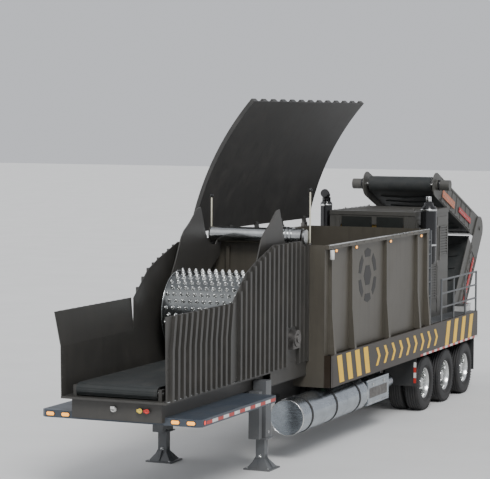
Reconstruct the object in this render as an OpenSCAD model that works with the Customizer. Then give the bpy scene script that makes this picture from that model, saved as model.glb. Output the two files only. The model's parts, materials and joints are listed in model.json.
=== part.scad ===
// Trailer-mounted horizontal grinder: infeed trough, feed drum, mill, lidded bin,
// engine house and folding discharge conveyor on a three-axle semi-trailer.
// Lengths run along X from the deck's front edge, +Y is the far side, Z = 0 is the ground.

/* [Trailer] */
// Width over the deck and the side bands
overall_w = 2590; // [2450:10:2650]
// Height of the front deck's top
deck_z = 1268; // [1240:2:1300]
// Depth of the front deck
deck_t = 111; // [90:1:130]
// Length of the front deck
deck_len = 2840; // [2500:10:2950]
// Cut across each front corner of the deck
deck_chamfer = 60; // [20:5:120]
// Distance from the trailer's centre to the middle of each rail
rail_y = 560; // [555:1:575]
// Width of each chassis rail
rail_w = 120; // [100:2:125]
// Height of the underside of the chassis rails
rail_z0 = 900; // [880:5:920]
// Height of the bin floor and of the service deck
floor_z = 1610; // [1580:5:1640]
// Lower edge of the side bands
band_z0 = 1068; // [1060:1:1090]
// Thickness of the side bands
band_t = 60; // [40:2:70]
// Rear end of the side bands
band_x1 = 13905; // [13850:5:13950]

/* [Coupling] */
// Kingpin centre behind the deck's front edge
kingpin_x = 915; // [700:5:1200]
// Kingpin radius
kingpin_r = 25.4; // [25.4:0.1:44.5]
// Length of the kingpin below its plate
kingpin_len = 84; // [70:1:90]
// Side of the square fifth-wheel plate
coupler_w = 960; // [800:10:1100]
// Thickness of the fifth-wheel plate
coupler_t = 16; // [10:1:25]

/* [Infeed] */
// How far the infeed walls reach ahead of the deck
wall_overhang = 345; // [300:5:400]
// Distance from the centre to the outer face of the infeed walls
wall_y = 850; // [845:1:860]
// Thickness of the infeed walls
wall_t = 12; // [8:1:14]
// Height of the ledge that the infeed walls stand on
ledge_z = 1515; // [1500:1:1530]
// Height at which the low walls start to lean out
flare_z = 2250; // [2150:10:2350]
// Top of the low walls
low_wall_z = 2760; // [2700:5:2820]
// Top of the high walls
high_wall_z = 3540; // [3530:1:3545]
// Outward lean of the low walls' top strip, in degrees
flare_a = 5; // [2:0.5:6]
// Spacing of the wall ribs
rib_pitch = 190; // [170:5:220]
// Width of a wall rib
rib_w = 70; // [50:5:90]
// Depth of a wall rib
rib_d = 50; // [35:5:60]
// Half width of the infeed bed
bed_y = 725; // [722:1:740]
// Top of the infeed belt
belt_z = 1710; // [1705:1:1716]
// Width of the infeed belt
belt_w = 1300; // [1250:10:1306]
// Thickness of every belt
belt_t = 12; // [8:1:14]
// Front end of the infeed belt
belt_x0 = -120; // [-130:1:-100]
// Rear end of the infeed belt
belt_x1 = 3850; // [3800:5:3860]

/* [Feed drum and arm] */
// Feed drum centre along the trailer
drum_x = 3440; // [3420:5:3460]
// Feed drum centre height
drum_z = 2450; // [2440:5:2480]
// Feed drum radius without its teeth
drum_r = 650; // [600:5:655]
// Feed drum length
drum_len = 1320; // [1250:10:1340]
// Height of a drum tooth
tooth_h = 52; // [35:1:55]
// Radius of a drum tooth at its foot
tooth_r = 24; // [18:1:28]
// Rows of teeth round the drum
tooth_rows = 36; // [30:2:40]
// Spacing of the teeth along a row
tooth_pitch = 118; // [100:2:140]
// Drum shaft radius
drum_shaft_r = 60; // [50:1:70]
// Distance from the centre to the outer face of the arm plates
arm_y = 715; // [712:1:730]
// Thickness of the arm plates
arm_t = 20; // [14:1:22]
// Feed arm pivot along the trailer
pivot_x = 5160; // [5145:1:5162]
// Feed arm pivot height
pivot_z = 3600; // [3598:1:3620]
// Radius of the pivot tube
pivot_r = 135; // [120:1:137]
// Radius of the pivot's stub shafts
stub_r = 60; // [50:1:70]

/* [Mill] */
// Rotor centre along the trailer
rotor_x = 4620; // [4615:1:4640]
// Rotor centre height
rotor_z = 1960; // [1950:1:1970]
// Rotor body radius
rotor_r = 430; // [400:5:440]
// Radius at the hammers' tips
hammer_r = 520; // [480:5:525]
// Rotor length
rotor_len = 1280; // [1200:10:1300]
// Rotor shaft radius
rotor_shaft_r = 70; // [60:1:80]
// Gap between the hammers' tips and the screen
screen_gap = 25; // [20:1:30]

/* [Bin and lid] */
// Front end of the bin
bin_x0 = 5277; // [5270:1:5285]
// Length of the bin
bin_len = 5490; // [5300:10:5500]
// Distance from the centre to the bin's outer faces
bin_y = 1170; // [1160:1:1180]
// Thickness of the bin's sheets
bin_t = 12; // [8:1:16]
// Top of the bin's rails
bin_z = 3457; // [3450:1:3462]
// Width of the opening over the belly belt
slot_w = 860; // [800:10:880]
// Lid hinge distance from the centre
hinge_y = 1225; // [1215:1:1235]
// Lid hinge height above the bin's rails
hinge_up = 63; // [58:1:80]
// Radius of the lid's curve
lid_r = 4790; // [4600:10:5000]
// Straight width of the lid across its curve
lid_chord = 2514; // [2500:2:2530]
// Angle of the open lid's chord from the level
lid_a = 116.5; // [114:0.5:118]
// Thickness of the lid sheet
lid_t = 12; // [8:1:16]
// Gap between the bin's front wall and the lid
lid_setback = 53; // [50:1:60]
// Number of lid ribs
lid_ribs_n = 13; // [9:1:15]
// Width of a lid rib
lid_rib_w = 180; // [120:5:200]
// Height of a lid rib
lid_rib_h = 60; // [40:2:62]

/* [Running gear] */
// Rear axle position
axle_x = 13092; // [13060:2:13110]
// Spacing of the axles
axle_pitch = 1290; // [1240:5:1310]
// Tyre radius
tyre_r = 520; // [500:1:530]
// Width of one tyre
tyre_w = 280; // [260:2:290]
// Spacing of the two tyres of a pair
dual_pitch = 330; // [315:1:340]
// Rim radius
rim_r = 286; // [270:1:300]
// Spindle radius
spindle_r = 55; // [45:1:60]
// Landing leg position
leg_x = 3331; // [3300:1:3360]
// Landing leg distance from the centre
leg_y = 860; // [850:1:880]
// Outer size of the leg housing
leg_w = 220; // [200:2:230]
// Outer size of the sliding leg
leg_in_w = 146; // [130:2:160]
// Lower end of the leg housing
leg_z0 = 490; // [470:5:560]
// Side of the square foot
foot_w = 450; // [380:10:480]
// Height of the foot
foot_h = 170; // [140:5:200]

/* [Side fittings] */
// Fuel tank radius
tank_r = 295; // [270:1:300]
// Fuel tank length
tank_len = 3130; // [2800:10:3150]
// Front end of the fuel tank
tank_x0 = 4070; // [3900:10:4080]
// Fuel tank centre height
tank_z = 720; // [700:5:740]
// Length of the toolbox
toolbox_len = 1180; // [1000:10:1200]

/* [Engine house] */
// Gap between the bin and the engine house
house_gap = 183; // [175:1:220]
// Length of the engine house
house_len = 2200; // [2150:5:2210]
// Distance from the centre to the house's sides
house_y = 870; // [850:1:875]
// Top of the engine house
house_z = 3760; // [3700:2:3764]
// Thickness of the house's sheets
house_t = 12; // [8:1:16]
// Top rail of the handrails
handrail_z = 2420; // [2300:10:2500]

/* [Discharge conveyor] */
// Tail pivot along the trailer
tail_x = 13980; // [13970:1:14010]
// Tail pivot height
tail_z = 1050; // [1040:1:1070]
// Knuckle along the trailer
knuckle_x = 15720; // [15700:1:15800]
// Knuckle height
knuckle_z = 3200; // [3195:1:3230]
// Direction of the folded section, in degrees from +X
fold_a = 161; // [160.5:0.1:162]
// Length of the folded section, pin to head pulley
fold_len = 3150; // [3000:10:3200]
// Half depth of the conveyor's side plates
conv_d = 250; // [230:1:255]
// Radius of the conveyor pulleys
pulley_r = 150; // [130:1:155]
// Thickness of the conveyor's side plates
conv_t = 20; // [12:1:22]

/* [Hidden] */
$fn = 64;

// Clearances
run_gap = 0.3;
seat_gap = 0.3;

half_w = overall_w / 2;
band_in = half_w - band_t;
rail_in = rail_y - rail_w / 2;
rail_out = rail_y + rail_w / 2;
rail_end = tail_x - 380;
wall_in = wall_y - wall_t;
arm_in = arm_y - arm_t;

// Infeed bed and belt
bed_front = -110;
bed_len = 3810;
ledge_t = 33;
beam_z0 = 1200;
roll_r = (belt_z - ledge_z - 7) / 2;
roll_z = belt_z - roll_r;
roll_x0 = belt_x0 + roll_r;
roll_x1 = belt_x1 - roll_r;
roll_core = roll_r - belt_t - run_gap;
roll_shaft_r = 25;
roller_len = belt_w - 20;
block_t = 55;
block_len = 120;

// Mill
hammer_w = 60;
hammer_n = 10;
hammer_rows = 6;
screen_r = hammer_r + screen_gap;
screen_t = 15;
screen_a0 = 208;
screen_a1 = 330;
anvil_z = 1750;
port_y = 600;
port_z0 = 1700;
port_z1 = 2500;

// Bin
bin_x1 = bin_x0 + bin_len;
rail_h = 67;
bin_rail_w = 80;
band_x0 = bin_x0 + 95;
post_x = [band_x0 + 138, bin_x0 + 1233, bin_x0 + 3053, bin_x0 + 4843, bin_x1 - 60];
post_w = 90;
slot_x0 = bin_x0 + 323;
slot_x1 = bin_x1 - 367;

// Belly belt
belly_x0 = 4200;
belly_x1 = tail_x - 330;
belly_z = 1300;
belly_r = 90;
belly_y = 450;
bed_core = belly_r - belt_t;

// Lid
hinge_z = bin_z + hinge_up;
pin_r = 15;
knuckle_or = 30;
lid_x0 = bin_x0 + lid_setback;
lid_len = bin_len + 10;
lid_foot_y = hinge_y + 37;
lid_foot_z = hinge_z + 80;
lid_top_y = lid_foot_y + lid_chord * cos(lid_a);
lid_top_z = lid_foot_z + lid_chord * sin(lid_a);
lid_apothem = sqrt(lid_r * lid_r - lid_chord * lid_chord / 4);
lid_cy = (lid_foot_y + lid_top_y) / 2 - lid_apothem * sin(lid_a);
lid_cz = (lid_foot_z + lid_top_z) / 2 + lid_apothem * cos(lid_a);
lid_a0 = atan2(lid_foot_z - lid_cz, lid_foot_y - lid_cy);
lid_a1 = atan2(lid_top_z - lid_cz, lid_top_y - lid_cy);
lid_rib_a0 = lid_a0 + 2.9;
hinge_n = 5;
hinge_pitch = (lid_len - 700) / (hinge_n - 1);

// Running gear
axle_r = 63.5;
wheel_y = half_w - 10 - tyre_w / 2;
inner_wheel_y = wheel_y - dual_pitch;
hub_r = 130;
rim_t = 14;
leaf_t = 20;
leaf_w = 100;
seat_top = tyre_r + 120;
leg_t = 12;

// House and conveyor
house_x0 = bin_x1 + house_gap;
house_x1 = house_x0 + house_len;
engine_z = 2250;
fan_x = house_x0 + 200;
stack_y = house_y + 190;
stack_x = house_x0 + 300;
conv_in = arm_y + 15;
conv_out = conv_in + conv_t;
inc_in = conv_out + 10;
inc_out = inc_in + conv_t;
bracket_in = inc_out + 10;
inc_dx = knuckle_x - tail_x;
inc_dz = knuckle_z - tail_z;
inc_len = sqrt(inc_dx * inc_dx + inc_dz * inc_dz);
inc_a = atan2(inc_dz, inc_dx);
belt_cut = 320;
conv_belt_y = belt_w / 2;
knuckle_pin_r = 40;
trunnion_r = 90;

// The middle of the whole machine along X is the origin
x_mid = (knuckle_x + conv_d + 10 - wall_overhang) / 2;

module centred() { translate([-x_mid, 0, 0]) children(); }

module both() {
    children();
    mirror([0, 1, 0]) children();
}

// Cylinder along Y from y0 to y1
module rod_y(x, z, r, y0, y1) {
    translate([x, y1, z]) rotate([90, 0, 0]) cylinder(r = r, h = y1 - y0);
}

module rod_x(x0, x1, y, z, r) {
    translate([x0, y, z]) rotate([0, 90, 0]) cylinder(r = r, h = x1 - x0);
}

// Box between two corners
module block(a, b) { translate(a) cube(b - a); }

// Plate of an X-Z outline, from y0 to y0 + t
module plate(points, y0, t) {
    translate([0, y0 + t, 0]) rotate([90, 0, 0]) linear_extrude(t) polygon(points);
}

// Flat strip with round ends, in the X-Z plane, extruded from y0 to y1
module loop_solid(x0, x1, r, y0, y1) {
    translate([0, y1, 0]) rotate([90, 0, 0]) linear_extrude(y1 - y0) union() {
        translate([x0, -r]) square([x1 - x0, 2 * r]);
        translate([x0, 0]) circle(r);
        translate([x1, 0]) circle(r);
    }
}

module belt_loop(x0, x1, z, r, y) {
    translate([0, 0, z]) difference() {
        loop_solid(x0, x1, r, -y, y);
        loop_solid(x0, x1, r - belt_t, -y - 1, y + 1);
    }
}

// Roller with a thick shell and a through shaft
module roller(x, z, r, len, shaft_r, shaft_len) {
    rod_y(x, z, r, -len / 2, len / 2);
    rod_y(x, z, shaft_r, -shaft_len / 2, shaft_len / 2);
}

// Hollow drum: shell, two pierced end discs and a shaft
module hollow_drum(x, z, r, shell, len, shaft_r, shaft_len) {
    difference() {
        rod_y(x, z, r, -len / 2, len / 2);
        difference() {
            rod_y(x, z, r - shell, -len / 2 + 60, len / 2 - 60);
            rod_y(x, z, shaft_r, -len / 2, len / 2);
        }
        for (s = [-1, 1]) rod_y(x, z, r - shell, s * (len / 2 - 15) - 15.5, s * (len / 2 - 15) + 15.5);
        for (a = [0 : 60 : 300]) {
            rod_y(x + r * 0.6 * cos(a), z + r * 0.6 * sin(a), r * 0.17, -len / 2 - 1, len / 2 + 1);
        }
    }
    rod_y(x, z, shaft_r, -shaft_len / 2, shaft_len / 2);
}

// ---- Chassis ----
module chassis_rails() color("#3d3c3a") centred() both() {
    plate([[deck_len, rail_z0], [rail_end, rail_z0], [rail_end, floor_z - bin_t],
        [bin_x0 + bin_t, floor_z - bin_t], [bin_x0 + bin_t, deck_z], [deck_len, deck_z]],
        rail_in, rail_w);
}

module crossmembers() color("#3a3937") centred() {
    member_pitch = 1290;
    first = axle_x - 8 * member_pitch + 645;
    for (i = [0 : 7]) {
        x = first + i * member_pitch;
        block([x - 40, -rail_in, rail_z0], [x + 40, rail_in, belly_z - 2 * belly_r - 30]);
        if (x > band_x0 + 100) both() block([x - 40, rail_out, 1100], [x + 40, band_in, deck_z]);
    }
    // Rear beam with the brackets of the discharge conveyor
    block([rail_end - 80, -rail_in, rail_z0], [rail_end, rail_in, belly_z - 2 * belly_r - 30]);
    both() {
        block([rail_end - 80, rail_out, 1100], [rail_end, band_in, deck_z]);
        difference() {
            union() {
                plate([[rail_end, 1130], [rail_end, deck_z], [tail_x, tail_z + 150],
                    [tail_x, tail_z - 150]], bracket_in, 25);
                rod_y(tail_x, tail_z, 150, bracket_in, bracket_in + 25);
            }
            rod_y(tail_x, tail_z, trunnion_r + run_gap, bracket_in - 1, bracket_in + 26);
        }
        // Sills that carry the mill
        block([bed_front + bed_len, rail_in, deck_z], [bin_x0, wall_y, deck_z + 20]);
    }
    // Slider bed between the strands of the belly belt
    translate([0, 0, belly_z - belly_r]) {
        loop_solid(belly_x0 + belly_r, belly_x1 - belly_r, bed_core - seat_gap, -belly_y, belly_y);
        both() block([belly_x0 + 400, belly_y, -40], [belly_x1 - 400, rail_in, 40]);
    }
}

module deck() color("#4a525c") centred() {
    c = deck_chamfer;
    translate([0, 0, deck_z - deck_t]) linear_extrude(deck_t) polygon([[0, -half_w + c],
        [c, -half_w], [deck_len, -half_w], [deck_len, half_w], [c, half_w], [0, half_w - c]]);
}

module kingpin_plate() color("#555555") centred() {
    z = deck_z - deck_t;
    block([kingpin_x - coupler_w / 2, -coupler_w / 2, z - coupler_t],
        [kingpin_x + coupler_w / 2, coupler_w / 2, z]);
    translate([kingpin_x, 0, z - coupler_t - kingpin_len]) cylinder(r = kingpin_r, h = kingpin_len + 1);
}

// Two air couplings and an electric socket on the front beam
module front_connectors() color("#c8b040") centred() {
    z = (beam_z0 + ledge_z - ledge_t) / 2 + 10;
    for (y = [-400, -510]) {
        rod_x(bed_front - 45, bed_front, y, z, 28);
        translate([bed_front - 62, y, z + 12]) rotate([0, 90, 0]) cylinder(r = 40, h = 17);
    }
    rod_x(bed_front - 50, bed_front, 40, z, 38);
    block([bed_front - 56, 5, z - 35], [bed_front - 50, 75, z + 45]);
}

// ---- Infeed ----
module infeed_bed() color("#3f3e3b") centred() {
    bed_top = ledge_z - ledge_t;
    difference() {
        union() {
            block([0, -bed_y, deck_z], [bed_front + bed_len, bed_y, bed_top]);
            block([bed_front, -bed_y, beam_z0], [0, bed_y, bed_top]);
            block([-220, -wall_y, bed_top], [bed_front + bed_len, wall_y, ledge_z]);
            for (x = [roll_x0, roll_x1]) both() {
                block([x - block_len / 2, belt_w / 2 + 10, ledge_z],
                    [x + block_len / 2, belt_w / 2 + 10 + block_t, roll_z + 60]);
            }
        }
        for (x = [roll_x0, roll_x1]) {
            rod_y(x, roll_z, roll_shaft_r + run_gap, -bed_y - 1, bed_y + 1);
        }
        // Hollow of the bed, open underneath
        block([200, -bed_y + 20, deck_z - 1], [bed_front + bed_len - 200, bed_y - 20, bed_top - 20]);
    }
}

slope_x0 = 2160;
slope_pts = [[2670, 3165], [3040, 3310], [3790, high_wall_z]];

// How far the low wall leans out at a height
function lean(z) = (z - flare_z) * tan(flare_a);

// Upright strip that leans out above flare_z, t0 thick at its foot and t1 at its top
module bent_strip(x0, x1, y, t0, t1, foot, top) {
    translate([x0, 0, 0]) rotate([90, 0, 90]) linear_extrude(x1 - x0) polygon([[y, foot],
        [y + t0, foot], [y + t0, flare_z], [y + t1 + lean(top), top], [y + lean(top), top],
        [y, flare_z]]);
}

module wall_plate() {
    difference() {
        union() {
            plate([[slope_x0, ledge_z], [bed_front + bed_len, ledge_z],
                [bed_front + bed_len, deck_z + 20], [bin_x0, deck_z + 20], [bin_x0, high_wall_z],
                slope_pts[2], slope_pts[1], slope_pts[0], [slope_x0, low_wall_z]],
                wall_in, wall_t);
            intersection() {
                bent_strip(-wall_overhang, slope_x0, wall_in, wall_t, wall_t, ledge_z, low_wall_z);
                plate([[-215, ledge_z], [slope_x0, ledge_z], [slope_x0, low_wall_z],
                    [-wall_overhang, low_wall_z], [-235, flare_z]],
                    wall_in - 1, wall_t + 2 + lean(low_wall_z));
            }
            rod_y(pivot_x, pivot_z, pivot_r - 5, wall_in, wall_y);
        }
        rod_y(pivot_x, pivot_z, stub_r + run_gap, wall_in - 1, wall_y + 1);
        rod_y(rotor_x, rotor_z, rotor_shaft_r + 20, wall_in - 1, wall_y + 1);
        // Tailgate bolt holes along the front edge
        for (z = hole_z) rod_y(-190, z, hole_r, wall_in - 1, wall_y + 1);
    }
}

hole_r = 13;
hole_pitch = 180;
hole_z = [for (i = [-1 : 1]) 1970 + i * hole_pitch];

module infeed_walls() color("#3e3d3a") centred() both() wall_plate();

function wall_top(x) = x < slope_x0 ? low_wall_z
    : x < slope_pts[0][0] ? lookup(x, [[slope_x0, low_wall_z], slope_pts[0]])
    : lookup(x, slope_pts);

rib_start = -115;
rib_count = floor((bin_x0 - rib_start - rib_w) / rib_pitch);

module infeed_ribs() color("#45443f") centred() both() for (i = [0 : rib_count]) {
    x = rib_start + i * rib_pitch;
    top = min(wall_top(x), wall_top(x + rib_w)) - 6;
    near_mill = abs(x + rib_w / 2 - rotor_x) < 230;
    near_pivot = abs(x + rib_w / 2 - pivot_x) < pivot_r + 50;
    foot = near_mill ? rotor_z + 190 : ledge_z;
    if (x + rib_w < slope_x0) {
        bent_strip(x, x + rib_w, wall_y, rib_d, rib_d - 5, foot, top);
    } else if (x > slope_x0 + 20) {
        block([x, wall_y, foot], [x + rib_w, wall_y + rib_d, near_pivot ? high_wall_z - 90 : top]);
    }
}

module infeed_belt() color("#232627") centred() {
    belt_loop(roll_x0, roll_x1, roll_z, roll_r, belt_w / 2);
}

module infeed_roller(x) {
    roller(x, roll_z, roll_core, roller_len, roll_shaft_r, 2 * bed_y);
}

module infeed_roller_front() color("#8a8a88") centred() infeed_roller(roll_x0);

module infeed_roller_rear() color("#8a8a88") centred() infeed_roller(roll_x1);

// ---- Feed arm and drum ----
module feed_arm_plates() color("#403f3d") centred() both() difference() {
    plate([[3000, 2300], [3060, 2760], [3430, 3290], [3620, 3630], [3730, 3730], [3960, 3860],
        [4250, 4070], [4380, 4090], [4500, 3850], [4600, 3560], [4850, 3440], [5000, 3440],
        [pivot_x, pivot_z], [pivot_x + 70, 3470], [pivot_x + 20, 3250], [4400, 2800], [3900, 2200],
        [3440, 2080], [3150, 2120]], arm_in, arm_t);
    rod_y(pivot_x, pivot_z, pivot_r + seat_gap, arm_in - 1, arm_y + 1);
    rod_y(drum_x, drum_z, drum_shaft_r + run_gap, arm_in - 1, arm_y + 1);
}

module pivot_tube() color("#b9bbb8") centred() {
    rod_y(pivot_x, pivot_z, pivot_r, -wall_in + 18, wall_in - 18);
    rod_y(pivot_x, pivot_z, stub_r, -wall_y - 2, wall_y + 2);
}

ring_r = pivot_r + 30;
module feed_motor() color("#d5d5d2") centred() {
    for (i = [0 : 3]) difference() {
        rod_y(pivot_x, pivot_z, ring_r - 4 * i, -460 - i * 65, -415 - i * 65);
        rod_y(pivot_x, pivot_z, pivot_r + seat_gap, -700, -400);
    }
    rod_y(pivot_x, pivot_z, 120, -wall_y - 35, -wall_y - 2);
}

module feed_drum() color("#c9cac8") centred() {
    hollow_drum(drum_x, drum_z, drum_r, 20, drum_len, drum_shaft_r, 2 * arm_y + 20);
}

module drum_teeth() color("#b5b6b4") centred() {
    per_row = floor((drum_len - 60) / tooth_pitch);
    for (i = [0 : tooth_rows - 1]) for (j = [0 : per_row - i % 2]) {
        y = (j - (per_row - i % 2) / 2) * tooth_pitch;
        translate([drum_x, y, drum_z]) rotate([0, i * 360 / tooth_rows, 0]) translate([0, 0, drum_r]) {
            cylinder(r1 = tooth_r, r2 = tooth_r * 0.35, h = tooth_h, $fn = 16);
        }
    }
}

module indicator_rods() color("#9a9d85") centred() for (s = [[-900, 4410], [900, 4280]]) {
    translate([bin_x0 + bin_t / 2, s[0], bin_z]) cylinder(r = 12, h = s[1] - bin_z - 40);
    translate([bin_x0 + bin_t / 2, s[0], s[1] - 32]) sphere(r = 34);
}

// ---- Mill ----
module mill_rotor() color("#6a6764") centred() {
    hollow_drum(rotor_x, rotor_z, rotor_r, 60, rotor_len, rotor_shaft_r, 2 * wall_y + 260);
    for (i = [0 : hammer_n - 1]) for (k = [0 : hammer_rows / 2 - 1]) {
        y = (i - (hammer_n - 1) / 2) * (rotor_len - 120) / (hammer_n - 1);
        a = k * 720 / hammer_rows + (i % 2) * 360 / hammer_rows;
        translate([rotor_x, y, rotor_z]) rotate([0, a, 0]) {
            block([-35, -hammer_w / 2, rotor_r + seat_gap], [35, hammer_w / 2, hammer_r - 3]);
        }
    }
}

module mill_screen() color("#4c4a48") centred() difference() {
    translate([rotor_x, wall_in - seat_gap, rotor_z]) rotate([90, 0, 0]) rotate([0, 0, screen_a0]) {
        rotate_extrude(angle = screen_a1 - screen_a0) translate([screen_r, 0]) {
            square([screen_t, 2 * wall_in - 2 * seat_gap]);
        }
    }
    for (a = [screen_a0 + 10 : 14 : screen_a1 - 8]) for (y = [-600 : 200 : 600]) {
        translate([rotor_x, y, rotor_z]) rotate([0, -a, 0]) translate([screen_r - 20, -60, -40]) {
            cube([screen_t + 40, 120, 80]);
        }
    }
}

module mill_anvil() color("#57534f") centred() {
    tip = hammer_r + screen_gap + 25;
    rise = rotor_z - anvil_z;
    block([belt_x1 + 15, -wall_in + seat_gap, anvil_z - 150],
        [rotor_x - sqrt(tip * tip - rise * rise), wall_in - seat_gap, anvil_z]);
}

module rotor_bearings() color("#6d5a38") centred() both() difference() {
    union() {
        block([rotor_x - 160, wall_y, rotor_z - 170], [rotor_x + 160, wall_y + 90, rotor_z + 20]);
        rod_y(rotor_x, rotor_z, 140, wall_y, wall_y + 110);
    }
    rod_y(rotor_x, rotor_z, rotor_shaft_r + run_gap, wall_y - 1, wall_y + 111);
}

// ---- Bin and lid ----
module bin_sides() color("#585449") centred() both() {
    block([bin_x0 + bin_t, bin_y - bin_t, floor_z], [bin_x1, bin_y, bin_z - rail_h]);
}

module bin_frame() color("#4d4a43") centred() both() {
    block([bin_x0 + bin_t, bin_y - bin_t, bin_z - rail_h], [bin_x1, bin_y - bin_t + bin_rail_w, bin_z]);
    for (x = post_x) {
        translate([x - post_w / 2, 0, 0]) rotate([90, 0, 90]) linear_extrude(post_w) polygon([
            [bin_y, floor_z], [half_w - 5, floor_z], [bin_y + 65, floor_z + 700],
            [bin_y + 55, bin_z - rail_h], [bin_y, bin_z - rail_h]]);
    }
}

module bin_end_walls() color("#4a4741") centred() {
    difference() {
        block([bin_x0, -bin_y, band_z0], [bin_x0 + bin_t, bin_y, bin_z]);
        block([bin_x0 - 1, -port_y, port_z0], [bin_x0 + bin_t + 1, port_y, port_z1]);
        block([bin_x0 - 1, -rail_in - 120, band_z0 - 1], [bin_x0 + bin_t + 1, rail_in + 120, belly_z + 20]);
    }
    block([bin_x1, -bin_y, floor_z], [bin_x1 + bin_t, bin_y, bin_z]);
    for (y = [-port_y, port_y - 60]) block([bin_x0 - 60, y, port_z1 + 40], [bin_x0, y + 60, bin_z - 60]);
}

module bin_floor() color("#4a4741") centred() {
    difference() {
        block([bin_x0 + bin_t, -bin_y, floor_z - bin_t], [bin_x1 + bin_t, bin_y, floor_z]);
        block([slot_x0, -slot_w / 2, floor_z - bin_t - 1], [slot_x1, slot_w / 2, floor_z + 1]);
    }
    both() block([slot_x0, slot_w / 2, belly_z + 20], [slot_x1, slot_w / 2 + bin_t, floor_z - bin_t]);
}

module belly_belt() color("#222526") centred() {
    belt_loop(belly_x0 + belly_r, belly_x1 - belly_r, belly_z - belly_r, belly_r, belly_y);
}

// Arc shell in the Y-Z plane, length len along X
module lid_arc(r, t, len, a0, a1) {
    translate([0, lid_cy, lid_cz]) rotate([90, 0, 90]) rotate([0, 0, a0]) {
        rotate_extrude(angle = a1 - a0, $fn = 360) translate([r, 0]) square([t, len]);
    }
}

function hinge_x(i) = lid_x0 + 350 + i * hinge_pitch;

module bin_lid() color("#3c3a38") centred() {
    translate([lid_x0, 0, 0]) lid_arc(lid_r, lid_t, lid_len, lid_a0, lid_a1);
    for (i = [0 : hinge_n - 1]) difference() {
        translate([hinge_x(i) - 50, 0, 0]) rotate([90, 0, 90]) linear_extrude(100) union() {
            translate([hinge_y, hinge_z]) circle(knuckle_or);
            polygon([[hinge_y - knuckle_or, hinge_z], [hinge_y + knuckle_or, hinge_z],
                [lid_foot_y + 2, lid_foot_z + 1], [lid_foot_y - 18, lid_foot_z + 60],
                [lid_foot_y - 45, lid_foot_z + 40]]);
        }
        rod_x(hinge_x(i) - 51, hinge_x(i) + 51, hinge_y, hinge_z, pin_r + run_gap);
        translate([hinge_x(i) - 51, 0, 0]) {
            lid_arc(lid_r - seat_gap, lid_t + 2 * seat_gap, 102, lid_a0 - 0.01, lid_a1);
        }
    }
}

module lid_ribs() color("#45433f") centred() {
    rib_step = (lid_len - lid_rib_w) / (lid_ribs_n - 1);
    for (i = [0 : lid_ribs_n - 1]) translate([lid_x0 + i * rib_step, 0, 0]) {
        lid_arc(lid_r + lid_t + seat_gap, lid_rib_h, lid_rib_w, lid_rib_a0, lid_a1);
    }
}

module lid_hinges() color("#6b6a66") centred() for (i = [0 : hinge_n - 1]) {
    x = hinge_x(i);
    for (s = [-1, 1]) translate([x + s * 66 - 15, 0, 0]) rotate([90, 0, 90]) linear_extrude(30) union() {
        translate([hinge_y, hinge_z]) circle(knuckle_or);
        translate([hinge_y - knuckle_or, bin_z]) square([knuckle_or + 43, hinge_up]);
    }
    rod_x(x - 85, x + 85, hinge_y, hinge_z, pin_r);
}

// ---- Side bands, lamps ----
module side_bands() color("#37291a") centred() both() {
    block([band_x0, band_in, band_z0], [band_x1, half_w, floor_z]);
}

module marker_lamps() color("#ffb850") centred() {
    lamp_z = deck_z - deck_t / 2;
    for (y = [-1140, -890, 890, 1140]) block([-14, y - 55, lamp_z - 22], [0, y + 55, lamp_z + 22]);
    both() {
        translate([130, half_w, lamp_z]) rotate([-90, 0, 0]) cylinder(r = 32, h = 4);
        for (i = [0 : 3]) {
            translate([post_x[i] + 110, bin_y, bin_z - rail_h - 45]) rotate([-90, 0, 0]) {
                cylinder(r = 30, h = 25);
            }
        }
        block([band_x1, band_in - 200, band_z0 + 250], [band_x1 + 20, half_w - 10, band_z0 + 330]);
    }
}

// ---- Side fittings ----
tank_y = -(half_w - tank_r - 12);
strap_t = 8;
strap_x = [tank_x0 + 420, tank_x0 + tank_len / 2, tank_x0 + tank_len - 420];
neck_x = tank_x0 + tank_len * 0.56;

module fuel_tank() color("#a9adb0") centred() difference() {
    union() {
        rod_x(tank_x0, tank_x0 + tank_len, tank_y, tank_z, tank_r);
        translate([neck_x, tank_y, tank_z]) cylinder(r = 55, h = tank_r + 35);
    }
    rod_x(tank_x0 + 8, tank_x0 + tank_len - 8, tank_y, tank_z, tank_r - 6);
    translate([neck_x, tank_y, tank_z]) cylinder(r = 40, h = tank_r + 36);
}

module tank_straps() color("#2c2b2b") centred() for (x = strap_x) {
    difference() {
        rod_x(x - 30, x + 30, tank_y, tank_z, tank_r + strap_t);
        rod_x(x - 31, x + 31, tank_y, tank_z, tank_r + seat_gap);
    }
    difference() {
        block([x - 30, tank_y + tank_r - 20, tank_z - 60], [x + 30, -rail_out, rail_z0 + 120]);
        rod_x(x - 31, x + 31, tank_y, tank_z, tank_r + strap_t);
    }
}

module fuel_cap() color("#3f7a4a") centred() translate([neck_x, tank_y, tank_z + tank_r + 35 + seat_gap]) {
    cylinder(r = 62, h = 30);
    translate([-50, -10, 30]) cube([100, 20, 16]);
    translate([0, 0, -40]) cylinder(r = 40 - run_gap, h = 41);
}

box_x0 = tank_x0 + tank_len + 60;
module toolbox() color("#b4b8bc") centred() {
    block([box_x0, -half_w + 60, 500], [box_x0 + toolbox_len, -half_w + 520, 950]);
    for (x = [box_x0 + 150, box_x0 + toolbox_len - 210]) {
        block([x, -half_w + 520, 720], [x + 60, -rail_out, 1000]);
    }
}

module air_tank() color("#8f949a") centred() {
    x0 = box_x0 + toolbox_len + 140;
    rod_x(x0, x0 + 620, -950, 700, 110);
    for (x = [x0 + 100, x0 + 470]) difference() {
        block([x, -860, 640], [x + 50, -rail_out, 960]);
        rod_x(x - 1, x + 51, -950, 700, 110);
    }
}

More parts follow.
